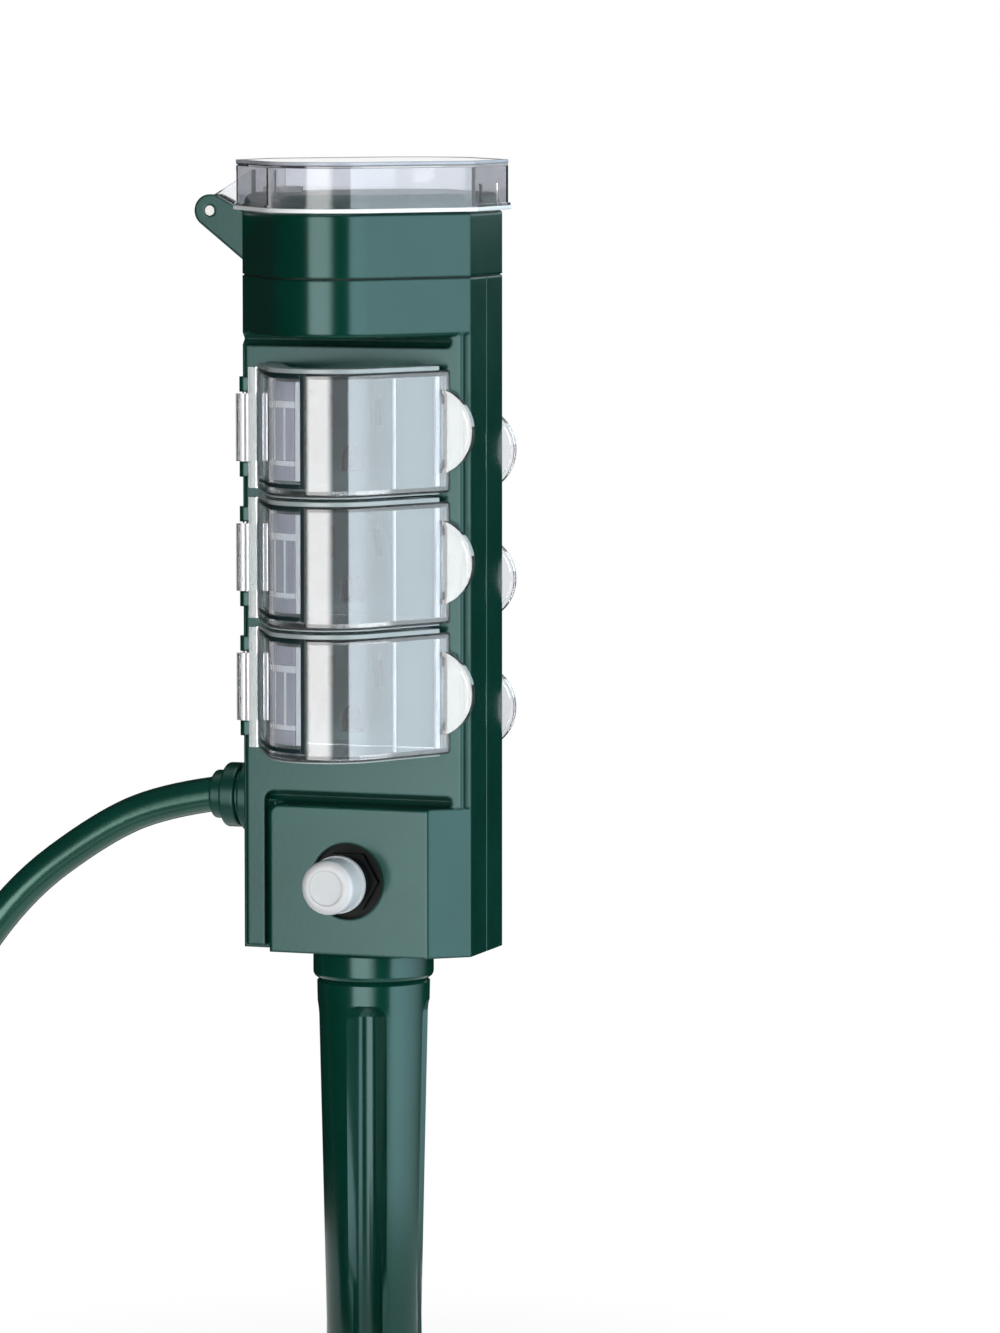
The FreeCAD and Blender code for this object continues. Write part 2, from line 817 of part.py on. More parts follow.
def control_deck():
    """Raised deck with a rounded upper edge, holes for button and light, and board posts."""
    body = new_body("control_deck")
    pad(body, "plinth", [nosed(cell.deck_inset)], cap_top, deck_top)
    round_edges(body, "upper_round", cell.deck_round, at_height(deck_top))
    pocket(body, "hollow", [nosed(cell.deck_inset + 2.2)], cap_top - 1, plate_low)
    for number, spot in enumerate(DECK_POSTS):
        pad(body, f"post_{number}", [[(*spot, cell.post_radius)]], board_top, plate_low + 0.5)
    pocket(body, "button_hole", [[(button_x, -cell.button_y, cell.button_radius + 0.1)]],
           plate_low - 1, deck_top + 1)
    pocket(body, "light_hole", [[(light_x, -cell.button_y, cell.light_radius)]],
           plate_low - 1, deck_top + 1)


def control_parts():
    """Button, switch, light pipe, board and the heavier components on the board."""
    x, y = button_x, -cell.button_y
    button_low = plate_low - 0.2 - cell.button_flange
    stem = rod("button_stem", cell.button_radius, (x, y, button_low),
               deck_top + cell.button_rise - button_low)
    flange = rod("button_flange", cell.button_radius + 1, (x, y, button_low),
                 cell.button_flange)
    finished(fuse("button_solid", [stem, flange]), "control_button")

    half = cell.switch_width / 2
    case_top = board_top + cell.switch_case
    case = block("switch_case_solid", (x - half, y - half, board_top),
                 (x + half, y + half, case_top))
    plunger = rod("switch_plunger", cell.plunger_radius, (x, y, case_top),
                  button_low - cell.button_travel - 0.1 - case_top)
    finished(fuse("switch_solid", [case, plunger]), "tact_switch")

    finished(rod("pipe_solid", cell.light_radius, (light_x, y, led_top),
                 deck_top + 0.3 - led_top), "light_pipe")
    finished(rod("led_solid", cell.light_radius, (light_x, y, board_top),
                 led_top - board_top), "status_led")
    finished(block("board_solid", (-board_half, -cell.board_half_y, board_low),
                   (board_half, cell.board_half_y, board_top)), "control_board")
    wide = cell.relay_width / 2
    finished(block("relay_solid", (cell.relay_x, -wide, board_low - cell.relay_height),
                   (cell.relay_x + cell.relay_length, wide, board_low)), "power_relay")
    tall = cell.capacitor_height
    finished(rod("capacitor_solid", cell.capacitor_radius,
                 (cell.capacitor_x, 0, board_low - tall), tall), "filter_capacitor")
    wide = cell.radio_width / 2
    finished(block("radio_solid", (cell.radio_x, -wide, board_top),
                   (cell.radio_x + cell.radio_length, wide, board_top + cell.radio_thick)),
             "wifi_module")


def lid():
    """Clear lid: a hollow nosed box with a rim, a hinge ear and a latch tongue."""
    body = new_body("lid")
    low = cap_top + cell.lid_play
    over = cell.lid_overhang
    pad(body, "shell", [nosed(-over)], low, lid_top)
    round_edges(body, "top_round", cell.lid_round, at_height(lid_top))
    pad(body, "rim", [nosed(-over - cell.rim_stand)], low, low + cell.rim_height)
    side = -cell.body_half - over
    ear = [(side + 1, low), (side + 1, lid_top - cell.lid_round - 1),
           (-eye_x, eye_z, cell.ear_radius)]
    thick = cell.ear_thick / 2
    pad(body, "ear", [ear], -thick, thick, "XZ")
    pocket(body, "hollow", [nosed(cell.lid_wall - over)], low - 1, lid_top - cell.lid_wall)
    inside = cell.body_half + over - cell.lid_wall
    tongue = rectangle(inside - 1, inside + 0.3, cell.latch_width / -2, cell.latch_width / 2)
    pad(body, "tongue", [tongue], low, low + cell.latch_height)
    eye = [(-eye_x, eye_z, cell.lid_pin_radius)]
    pocket(body, "ear_eye", [eye], -thick - 1, thick + 1, "XZ")


def lid_hinge_pin():
    """Pin that is fast in the lid's ear and turns in the cap's lugs."""
    finished(rod("lid_pin_solid", cell.lid_pin_radius, (-eye_x, -lug_far, eye_z),
                 lug_far * 2, "y"), "lid_hinge_pin")


# The clear outlet covers

def cover(name, side, place):
    """Clear nosed cover with end walls, a finger tab at the right and a hinge arm at the left."""
    body = new_body(name)
    middle = outlet_height(side, place)
    rise = cell.cover_height / 2
    half, wall, rim = cover_half, cell.cover_wall, cover_rim
    skin = sided([(-half, -rim), (0, -cell.cover_centre, cell.cover_radius), (half, -rim)], side)
    pad(body, "shell", [skin], middle - rise, middle + rise)
    for end, level in (("upper", middle + rise), ("lower", middle - rise)):
        round_edges(body, f"{end}_round", cell.cover_round, lower_rim(level, rim))
    tab_x = half + cell.tab_reach - cell.tab_radius
    tab = [(tab_x, middle, cell.tab_radius)]
    pad(body, "tab", [tab], *depths(side, rim, rim + wall), "XZ")
    inside = [(tab_x, middle, cell.tab_radius - cell.bead_width)]
    pad(body, "tab_bead", [tab, inside], *depths(side, rim + wall / 2,
                                                 rim + wall + cell.bead_height), "XZ")
    flange = rectangle(-half - 1.6, 0.5 - half, -rim - wall, -rim)
    pad(body, "flange", [sided(flange, side)], middle - rise, middle + rise)
    reach = (cell.knuckle_pitch - cell.knuckle_length) / 2 - cell.cover_play
    bend = cell.knuckle_radius
    arm = [(-half - 1.4, -rim - wall), (-half - 1.4, -rim), (-half - 2.6, -rim),
           (-hinge_x, -hinge_y, bend),
           (-hinge_x, bend - rim - wall, bend)]
    pad(body, "arm", [sided(arm, side)], middle - reach, middle + reach)
    room = sided([(wall - half, -rim + 1), (wall - half, -rim - 0.5),
                  (0, -cell.cover_centre, cell.cover_radius - wall),
                  (half - wall, -rim - 0.5), (half - wall, -rim + 1)], side)
    pocket(body, "room", [room], middle - rise + wall, middle + rise - wall)
    hole = sided([(-hinge_x, -hinge_y, cell.hinge_pin_radius + cell.pin_play)], side)
    pocket(body, "pin_hole", [hole], middle - reach - 1, middle + reach + 1)


def hinge_pins(name, side):
    """Three pins, one for each cover on this side of the post."""
    pins = []
    reach = (cell.knuckle_pitch + cell.knuckle_length) / 2
    for place in OUTLETS:
        low = outlet_height(side, place) - reach
        pins.append(rod(f"{name}_{place}", cell.hinge_pin_radius,
                        (-hinge_x, hinge_y * side, low), reach * 2))
    finished(group(f"{name}_group", pins), name)


# Contacts behind the outlets

def carrier(name, side):
    """Insulating strip behind the panel, slotted like the panel, that the contacts sit on."""
    body = new_body(name)
    near = carrier_back
    low = outlet_height(side, "bottom") - cell.cover_height / 2
    high = outlet_height(side, "top") + cell.cover_height / 2
    pad(body, "plate", [rectangle(-cell.carrier_half, cell.carrier_half, low, high)],
        *depths(side, near, near + cell.carrier_thick), "XZ")
    for place in OUTLETS:
        pocket(body, f"slots_{place}", slot_paths(side, place),
               *depths(side, near - 1, near + cell.carrier_thick + 1), "XZ")


def bar_block(name, side, left, right, near, far, low, high):
    """Makes a box of a bus bar from distances off the mid-plane."""
    back, front = depths(side, near, far)
    return block(name, (left, back, low), (right, front, high))


def blade_bus(name, side, hand):
    """Brass bus bar with one pair of spring jaws behind each of three blade slots."""
    leaf = cell.leaf_thick
    centre = cell.slot_spacing / 2 * hand
    gap = cell.slot_thick / 2 + cell.jaw_play
    left, right = (centre - gap - leaf, centre - gap), (centre + gap, centre + gap + leaf)
    inner, outer = (left, right) if hand > 0 else (right, left)
    near, far = carrier_back - cell.jaw_depth, carrier_back
    lines = [outlet_height(side, place) + cell.slot_rise for place in OUTLETS]
    pieces = [bar_block(f"{name}_strip", side, *outer, near, far,
                        lines[2] - cell.jaw_half, lines[0] + cell.jaw_half)]
    for place, line in zip(OUTLETS, lines):
        low, high = line - cell.jaw_half, line + cell.jaw_half
        pieces.append(bar_block(f"{name}_leaf_{place}", side, *inner, near, far, low, high))
        pieces.append(bar_block(f"{name}_bridge_{place}", side, left[0], right[1],
                                near, near + leaf, low, high))
    finished(fuse(f"{name}_solid", pieces), name)


def earth_bus(name, side):
    """Brass bus bar with a pair of jaws behind each earth hole."""
    near, far = cell.divider_half + cell.cover_play, carrier_back
    lines = [outlet_height(side, place) - cell.earth_drop for place in OUTLETS]
    leaf, grip = cell.leaf_thick, cell.earth_pin_radius + cell.jaw_play
    walls = {"left": (-grip - leaf, -grip), "right": (grip, grip + leaf)}
    pieces = [bar_block(f"{name}_strip", side, -grip - leaf, grip + leaf, near, near + leaf,
                        lines[2] - cell.jaw_half, lines[0] + cell.jaw_half)]
    for place, line in zip(OUTLETS, lines):
        for hand, (left, right) in walls.items():
            pieces.append(bar_block(f"{name}_{hand}_{place}", side, left, right, near, far,
                                    line - cell.jaw_half, line + cell.jaw_half))
    finished(fuse(f"{name}_solid", pieces), name)


def divider():
    """Insulating sheet between the front and the back contacts, held by the side walls."""
    inside = cell.body_half - cell.wall
    low = cell.gland_height + cell.clamp_half + cell.divider_play
    finished(block("divider_solid", (-inside, -cell.divider_half, low),
                   (inside, cell.divider_half, head_bottom - cell.divider_drop)),
             "insulating_divider")


# The reset button

neck_front = cell.boot_back + 0.6
flange_face = cell.block_face - cell.wall
case_face = flange_face - cell.breaker_flange


def reset_parts():
    """Circuit breaker with its neck and nut, and the white button under a clear boot."""
    z = cell.reset_height
    half = cell.breaker_half
    case = block("breaker_case", (-half, -case_face, z - half),
                 (half, -cell.breaker_back, z + half))
    flange = rod("breaker_flange_disc", cell.reset_hole + 2, (0, -flange_face, z),
                 cell.breaker_flange, "y")
    neck = rod("breaker_neck", cell.neck_radius, (0, -neck_front, z), neck_front - flange_face, "y")
    bore = rod("breaker_bore", cell.reset_radius + 0.1, (0, -neck_front - 1, z),
               neck_front + 1 - case_face - 0.8, "y")
    finished(cut("breaker_solid", fuse("breaker_outside", [case, flange, neck]), [bore]),
             "breaker_body")

    nut = new_body("breaker_nut")
    flat = cell.nut_half
    spots = [(flat * math.cos(math.radians(a)), z + flat * math.sin(math.radians(a)))
             for a in range(0, 360, 60)]
    pad(nut, "hexagon", [spots], -flange_face - cell.nut_thick, -flange_face, "XZ")
    pocket(nut, "bore", [[(0, z, cell.neck_radius)]], -flange_face - 3, 1 - flange_face, "XZ")

    wide, low = cell.terminal_width / 2, z + cell.terminal_rise
    tabs = [block(f"tab_{hand}", (x - wide, -cell.breaker_back, low),
                  (x + wide, cell.terminal_length - cell.breaker_back, low + cell.terminal_thick))
            for hand, x in (("left", -cell.terminal_x), ("right", cell.terminal_x))]
    finished(group("tab_group", tabs), "breaker_terminals")

    inside = cell.boot_front - cell.boot_wall
    finished(rod("reset_solid", cell.reset_radius, (0, -inside, z), inside - cell.block_face, "y"),
             "reset_button")

    boot = new_body("reset_boot")
    pad(boot, "skirt", [[(0, z, cell.boot_radius)]], -cell.boot_front, -cell.boot_back, "XZ")
    round_edges(boot, "nose", cell.boot_round, at_depth(cell.boot_front))
    pad(boot, "foot", [[(0, z, cell.boot_radius + cell.boot_flare)]],
        -cell.boot_back - cell.boot_foot, -cell.boot_back, "XZ")
    pocket(boot, "dish", [[(0, z, cell.reset_radius)]], -cell.boot_front - 1,
           cell.boot_dish - cell.boot_front, "XZ")
    pocket(boot, "room", [[(0, z, cell.neck_radius + cell.pin_play * 3)]], -inside,
           1 - cell.boot_back, "XZ")


# The cord

def tangent_path(points):
    """Joins straight runs through points with tangent arcs, and gives the wire and the radii."""
    radii = []
    edges = []
    start = points[0]
    for before, here, after in zip(points, points[1:], points[2:]):
        back, ahead = (before - here), (after - here)
        turn = math.pi - back.getAngle(ahead)
        radius = 0.45 * min(back.Length, ahead.Length) / math.tan(turn / 2)
        radii.append(radius)
        reach = radius * math.tan(turn / 2)
        back.normalize()
        ahead.normalize()
        first, last = here + back * reach, here + ahead * reach
        inward = back + ahead
        inward.normalize()
        middle = here + inward * (radius / math.cos(turn / 2) - radius)
        edges.append(Part.LineSegment(start, first).toShape())
        edges.append(Part.Arc(first, middle, last).toShape())
        start = last
    edges.append(Part.LineSegment(start, points[-1]).toShape())
    return Part.Wire(edges), radii


def piped(name, wire, radius):
    """Sweeps a round section along a wire as one sub-part, already in its final place."""
    first = wire.OrderedEdges[0]
    start, along = first.valueAt(first.FirstParameter), first.tangentAt(first.FirstParameter)
    circle = Part.Wire(Part.Circle(start, along, radius).toShape())
    thing = doc.addObject("Part::Feature", name)
    thing.Label = name
    thing.Shape = wire.makePipeShell([circle], True, False)
    PIECES.append(thing)
    return thing


def biarc(start, heading, end, final):
    """Two arcs that leave start along heading and reach end along final."""
    across = end - start
    both = heading + final
    square = 2 * heading.dot(final) - 2
    linear = -2 * across.dot(both)
    handle = (-linear - math.sqrt(linear ** 2 - 4 * square * across.dot(across))) / (2 * square)
    first_corner = start + heading * handle
    last_corner = end - final * handle
    joint = (first_corner + last_corner) / 2
    arcs = []
    for low, corner, high in ((start, first_corner, joint), (joint, last_corner, end)):
        half_turn = (math.pi - (low - corner).getAngle(high - corner)) / 2
        chord = (low + high) / 2
        share = math.tan(half_turn / 2) / math.tan(half_turn)
        arcs.append(Part.Arc(low, chord + (corner - chord) * share, high).toShape())
    return arcs


CORD_ROUTE = [
    Vector(-44.6, 0, 159.0),
    Vector(-60.0, 0, 156.0),
    Vector(-78.0, 0, 146.5),
    Vector(-104.0, 0, 125.0),
    Vector(-122.0, -3, 95.0),
    Vector(-134.5, -15, 62.0),
    Vector(-143.5, -40, 30.0),
    Vector(-146.0, -71, 4.65),
    Vector(-146.0, -110, 4.65),
]


def power_cord():
    """Free stretch of the mains cord from the gland down to the ground."""
    radius = cell.cord_radius.number
    wire, radii = tangent_path(CORD_ROUTE)
    cord = piped("power_cord", wire, radius)
    print("cord bend radii, mm:", [round(r, 1) for r in radii])
    print("cord stretch, mm:", round(wire.Length, 1))
    share = cord.Shape.Volume / (math.pi * radius ** 2 * wire.Length)
    print("cord volume over section times length:", round(share, 4))


def cord_coil():
    """Cord wound in two layers: in along the ground, up half a turn, and out again on top."""
    radius = cell.cord_radius.number
    pitch = 2 * radius + cell.coil_gap.number
    outer, turns = cell.coil_radius.number, cell.coil_turns.number
    begin = CORD_ROUTE[-1]
    middle = begin + Vector(outer, 0, 0)
    each_way = (turns - 0.5) / 2
    inner = outer - pitch * each_way

    def spot(turn):
        """Centre of the cord after so many turns."""
        angle = math.pi + 2 * math.pi * turn
        if turn <= each_way:
            out, rise = outer - pitch * turn, 0.0
        elif turn >= each_way + 0.5:
            out, rise = inner + pitch * (turn - each_way - 0.5), pitch
        else:
            share = (turn - each_way) / 0.5
            out = inner - pitch * (share - share ** 2) / 2
            rise = pitch * (1 - math.cos(math.pi * share)) / 2
        return middle + Vector(out * math.cos(angle), out * math.sin(angle), rise)

    def heading(turn):
        """Direction of the cord there."""
        if turn <= 0 or turn >= turns:
            angle = math.pi + 2 * math.pi * turn
            return Vector(-math.sin(angle), math.cos(angle), 0)
        along = spot(turn + 1e-4) - spot(turn - 1e-4)
        along.normalize()
        return along

    stops = [turns * i / round(turns * 4) for i in range(round(turns * 4) + 1)]
    edges = []
    for low, high in zip(stops, stops[1:]):
        edges += biarc(spot(low), heading(low), spot(high), heading(high))
    tail = spot(turns) + heading(turns) * cell.coil_tail.number
    edges.append(Part.LineSegment(spot(turns), tail).toShape())
    wire = Part.Wire(edges)
    coil = piped("cord_coil", wire, radius)
    print("coil length, mm:", round(wire.Length, 1))
    share = coil.Shape.Volume / (math.pi * radius ** 2 * wire.Length)
    print("coil volume over section times length:", round(share, 4))
    points = wire.discretize(Distance=4.0)
    apart = round(math.pi * radius / 4.0) + 4
    nearest = min(points[i].distanceToPoint(points[j]) for i in range(len(points))
                  for j in range(i + apart, len(points)))
    print("coil least gap, mm:", round(nearest - 2 * radius, 2))
    return tail


def plug(tail):
    """Three-pin plug lying beside the coil, in line with the end of the cord."""
    start, y = size(round(tail.x, 3)), size(round(tail.y, 3))
    z = cell.cord_radius * 3 + cell.coil_gap - cell.ground_gap
    half, back = cell.plug_half, start + cell.plug_relief
    face = back + cell.plug_length
    finished(cone("relief_solid", cell.cord_radius + cell.relief_thin,
                  cell.cord_radius + cell.relief_wide, (start, y, z), cell.plug_relief, "x"),
             "plug_strain_relief")
    body = new_body("plug_body")
    corner = cell.plug_round
    ring = [(y + (half - corner) * a, z + (half - corner) * b, corner)
            for a, b in ((-1, -1), (1, -1), (1, 1), (-1, 1))]
    pad(body, "grip", [ring], back, face, "YZ")
    round_edges(body, "end_round", cell.plug_end_round, at_end(back, face))
    blades = []
    for hand, sign in (("left", -1), ("right", 1)):
        centre = y + cell.slot_spacing / 2 * sign
        low = z + cell.blade_line - cell.blade_width / 2
        near, far = centre - cell.blade_thick / 2, centre + cell.blade_thick / 2
        blades.append(block(f"blade_{hand}", (face, near, low),
                            (face + cell.blade_length, far, low + cell.blade_width)))
    finished(group("blade_group", blades), "plug_blades")
    tip = cell.earth_pin_radius
    line = z + cell.blade_line - cell.earth_pin_drop
    straight = cell.earth_pin_length - tip
    shank = rod("earth_pin_shank", tip, (face, y, line), straight, "x")
    nose = cone("earth_pin_nose", tip, tip / 2, (face + straight, y, line), tip, "x")
    finished(fuse("earth_pin_solid", [shank, nose]), "plug_ground_pin")


def gland():
    """Moulded gland that grips the cord in the left side wall."""
    z = cell.gland_height
    body = new_body("cord_gland")
    body.Placement = FreeCAD.Placement(Vector(), Rotation(Vector(0, 1, 0), -90))
    bind(body, ".Placement.Base.x", -cell.body_half)
    bind(body, ".Placement.Base.z", cell.ground_gap + z)
    bend = cell.gland_round
    collar = cell.gland_collar
    ring_low = collar + cell.gland_groove
    ring_high = ring_low + cell.gland_ring
    tip = ring_high + cell.gland_tip
    inner = cell.gland_bore + cell.gland_lip
    revolved(body, "turned", [
        (0, -cell.wall - cell.gland_lip), (inner, -cell.wall - cell.gland_lip),
        (inner, -cell.wall), (cell.gland_bore, -cell.wall), (cell.gland_bore, 0),
        (cell.gland_radius, 0), (cell.gland_radius - bend, collar - bend, bend),
        (cell.gland_groove_radius, collar), (cell.gland_groove_radius, ring_low),
        (cell.gland_ring_radius - bend, ring_low + bend, bend),
        (cell.gland_ring_radius - bend, ring_high - bend, bend),
        (cell.gland_tip_radius, ring_high), (cell.gland_tip_radius - bend, tip - bend, bend),
        (0, tip)])
    wall_face = cell.wall - cell.body_half
    tail_start = wall_face + cell.gland_lip
    finished(rod("tail_solid", cell.cord_radius, (tail_start, 0, z), cell.tail_length, "x"),
             "cord_tail")
    near, half = tail_start + cell.gland_lip, cell.clamp_half
    clamp = block("clamp_bar", (near, -half, z - half), (near + cell.clamp_length, half, z + half))
    way = rod("clamp_way", cell.cord_radius, (near - 1, 0, z), cell.clamp_length + 2, "x")
    finished(cut("clamp_solid", clamp, [way]), "cord_clamp")


# The stake

def stake():
    """Fluted, tapered and pointed stake with a collar under the post and a spigot into it."""
    body = new_body("stake")
    collar, height, rim = cell.collar_radius, cell.collar_height, cell.collar_round
    length = cell.stake_length
    revolved(body, "turned", [
        (0, -length), (1, -length), (cell.shaft_low, cell.tip_length - length),
        (cell.shaft_top, -height - 1), (collar - 2, -height), (collar - rim, rim - height, rim),
        (collar - rim, -rim, rim), (cell.spigot_radius, 0),
        (cell.spigot_radius, cell.spigot_height), (0, cell.spigot_height)])
    flute = pocket(body, "flute", [[(0, -cell.flute_offset, cell.flute_radius)]],
                   -length - 1, -cell.flute_start - cell.flute_radius)
    end = body.newObject("PartDesign::SubtractiveSphere", "stake_flute_end")
    bind(end, "Radius", cell.flute_radius)
    bind(end, ".AttachmentOffset.Base.y", -cell.flute_offset)
    bind(end, ".AttachmentOffset.Base.z", -cell.flute_start - cell.flute_radius)
    flat = [f for f in body.Origin.OriginFeatures if f.Role == "XY_Plane"][0]
    end.AttachmentSupport = (flat, [""])
    end.MapMode = "FlatFace"
    flutes = body.newObject("PartDesign::PolarPattern", "stake_flutes")
    flutes.Originals = [flute, end]
    axis = [f for f in body.Origin.OriginFeatures if f.Role == "Z_Axis"][0]
    flutes.Axis = (axis, [""])
    flutes.Angle = 360
    flutes.Occurrences = 4
    body.Tip = flutes
    bind(body, ".Placement.Rotation.Angle", cell.flute_turn)

    ring = cell.spigot_radius + cell.pin_play
    thick = cell.retainer_thick
    washer = rod("retainer_disc", ring + cell.retainer_width, (0, 0, cell.wall), thick)
    bore = rod("retainer_bore", cell.spigot_radius, (0, 0, cell.wall - 1), thick + 2)
    finished(cut("retainer_solid", washer, [bore]), "stake_retainer")


# Building everything, checking it and writing it out

for label, sign in SIDES.items():
    housing(f"{label}_housing", sign)
    for place in OUTLETS:
        cover(f"{label}_cover_{place}", sign, place)
    hinge_pins(f"{label}_hinge_pins", sign)
    carrier(f"{label}_contact_carrier", sign)
    blade_bus(f"{label}_live_bus", sign, -sign)
    blade_bus(f"{label}_neutral_bus", sign, sign)
    earth_bus(f"{label}_ground_bus", sign)
housing_screws()
head_gasket()
control_head()
control_deck()
control_parts()
lid()
lid_hinge_pin()
divider()
reset_parts()
gland()
stake()
power_cord()
plug(cord_coil())

doc.recompute()
for thing in doc.Objects:
    if "Invalid" in thing.State or "Error" in thing.State:
        raise RuntimeError(f"{thing.Name} did not build: {thing.State}")
    if thing.TypeId == "PartDesign::Pocket":
        if thing.Shape.Volume >= thing.BaseFeature.Shape.Volume - 1e-6:
            raise RuntimeError(f"{thing.Name} cuts nothing")
for piece in PIECES:
    if piece.Shape.isNull() or not piece.Shape.isValid():
        raise RuntimeError(f"{piece.Label} has no valid solid")

os.makedirs("parts", exist_ok=True)
for piece in PIECES:
    piece.Shape.exportStep(f"parts/{piece.Label}.step")
print(len(PIECES), "sub-parts written")
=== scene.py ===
"""Garden socket spike: the looks of a dark green outdoor power post with clear covers.

Metres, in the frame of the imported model: Z up from the ground line, -Y towards the reset button.
"""
import math

import bmesh
import bpy
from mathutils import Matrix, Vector

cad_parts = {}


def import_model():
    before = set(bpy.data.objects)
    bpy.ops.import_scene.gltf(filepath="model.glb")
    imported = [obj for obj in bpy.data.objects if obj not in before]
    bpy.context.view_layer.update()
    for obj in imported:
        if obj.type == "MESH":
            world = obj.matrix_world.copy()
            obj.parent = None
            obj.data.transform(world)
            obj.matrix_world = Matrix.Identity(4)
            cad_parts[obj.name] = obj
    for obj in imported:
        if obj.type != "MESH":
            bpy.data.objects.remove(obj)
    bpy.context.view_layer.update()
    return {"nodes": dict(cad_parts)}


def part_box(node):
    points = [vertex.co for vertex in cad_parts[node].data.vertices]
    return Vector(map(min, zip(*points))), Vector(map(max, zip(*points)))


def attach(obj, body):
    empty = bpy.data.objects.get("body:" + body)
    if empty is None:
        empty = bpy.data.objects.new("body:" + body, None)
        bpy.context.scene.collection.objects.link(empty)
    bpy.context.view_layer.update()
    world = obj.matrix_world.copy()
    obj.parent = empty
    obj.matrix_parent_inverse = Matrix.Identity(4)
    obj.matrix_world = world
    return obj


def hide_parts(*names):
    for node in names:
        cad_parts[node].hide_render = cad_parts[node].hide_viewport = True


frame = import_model()

MM = 0.001
SIDES = ("front", "back")
PLACES = ("top", "middle", "bottom")


# Camera

CAMERA_AZIMUTH = 20.5
CAMERA_DISTANCE = 1.763
CAMERA_HEIGHT = 0.357
CAMERA_LENS = 180.9
PITCH_DOWN = 5.27
TURNED_RIGHT = 1.09


def add_camera():
    """Looks at the post from the right of its front, as the photograph does."""
    data = bpy.data.cameras.new("camera")
    data.lens = CAMERA_LENS
    data.sensor_width = 36
    data.clip_start, data.clip_end = 0.05, 50
    camera = bpy.data.objects.new("camera", data)
    bpy.context.collection.objects.link(camera)
    around = math.radians(CAMERA_AZIMUTH)
    camera.location = (CAMERA_DISTANCE * math.sin(around), -CAMERA_DISTANCE * math.cos(around),
                       CAMERA_HEIGHT)
    camera.rotation_euler = (math.radians(90 - PITCH_DOWN), 0,
                             math.radians(CAMERA_AZIMUTH - TURNED_RIGHT))
    bpy.context.scene.camera = camera


add_camera()


# Material helpers

def principled(name, **values):
    """Makes a material whose Principled shader has these socket values."""
    material = bpy.data.materials.new(name)
    material.use_nodes = True
    shader = material.node_tree.nodes["Principled BSDF"]
    for socket, value in values.items():
        shader.inputs[socket.replace("_", " ")].default_value = value
    return material


def node_adder(tree):
    """Gives a function that adds a node with these settings to a tree."""
    def add(kind, **settings):
        node = tree.nodes.new(kind)
        for key, value in settings.items():
            setattr(node, key, value)
        return node

    return add


def nodes_of(material):
    """Gives a material's tree, its Principled shader and a function that adds a node."""
    tree = material.node_tree
    return tree, tree.nodes["Principled BSDF"], node_adder(tree)


def noise(material, scale, detail=3.0):
    """Adds noise over the object's own coordinates and returns its factor socket."""
    tree, _, add = nodes_of(material)
    place = add("ShaderNodeTexCoord")
    texture = add("ShaderNodeTexNoise")
    texture.inputs["Scale"].default_value = scale
    texture.inputs["Detail"].default_value = detail
    tree.links.new(place.outputs["Object"], texture.inputs["Vector"])
    return texture.outputs["Fac"]


def vary_colour(material, factor, dark, light):
    """Lets the middle part of a factor run the base colour from dark to light."""
    tree, shader, add = nodes_of(material)
    ramp = add("ShaderNodeValToRGB")
    for stop, place, colour in zip(ramp.color_ramp.elements, (0.3, 0.7), (dark, light)):
        stop.position = place
        stop.color = (*colour, 1)
    tree.links.new(factor, ramp.inputs["Fac"])
    tree.links.new(ramp.outputs["Color"], shader.inputs["Base Color"])


def vary_roughness(material, factor, low, high):
    """Lets a factor run the roughness from low to high."""
    tree, shader, add = nodes_of(material)
    spread = add("ShaderNodeMapRange")
    spread.inputs["To Min"].default_value = low
    spread.inputs["To Max"].default_value = high
    tree.links.new(factor, spread.inputs["Value"])
    tree.links.new(spread.outputs["Result"], shader.inputs["Roughness"])


def bump(material, factor, height, edge=0.0):
    """Raises the surface by a factor, on normals that are rounded at the edges."""
    tree, shader, add = nodes_of(material)
    relief = add("ShaderNodeBump")
    relief.inputs["Distance"].default_value = height
    tree.links.new(factor, relief.inputs["Height"])
    if edge:
        rounding = add("ShaderNodeBevel", samples=6)
        rounding.inputs["Radius"].default_value = edge
        tree.links.new(rounding.outputs["Normal"], relief.inputs["Normal"])
    tree.links.new(relief.outputs["Normal"], shader.inputs["Normal"])


def moulded(name, dark, light, roughness, edge=0.35 * MM, grain=900, height=0.01 * MM, **values):
    """Moulded plastic: cloudy colour, uneven gloss, fine grain and soft edges."""
    material = principled(name, **values)
    vary_colour(material, noise(material, 60), dark, light)
    vary_roughness(material, noise(material, 45), *roughness)
    bump(material, noise(material, grain, 2), height, edge)
    return material


def finish_node(material, *names):
    """Gives carried-over nodes a material."""
    for name in names:
        node = frame["nodes"][name]
        node.data.materials.clear()
        node.data.materials.append(material)


# Piece helpers

def place_piece(name, mesh, material):
    """Turns a bmesh into an object of the scene with one material."""
    bmesh.ops.recalc_face_normals(mesh, faces=mesh.faces)
    data = bpy.data.meshes.new(name)
    mesh.to_mesh(data)
    mesh.free()
    data.materials.append(material)
    piece = bpy.data.objects.new(name, data)
    bpy.context.collection.objects.link(piece)
    return piece


def soften_edges(piece, width):
    """Rounds a piece's sharp edges, width mm wide."""
    edge = piece.modifiers.new("soft_edges", "BEVEL")
    edge.width = width * MM
    edge.segments = 2
    edge.limit_method = "ANGLE"


# Materials

GREEN_DARK, GREEN_LIGHT = (0.0008, 0.027, 0.017), (0.0014, 0.034, 0.023)
GREEN_SHEEN = (0.65, 0.97, 1.0, 1)

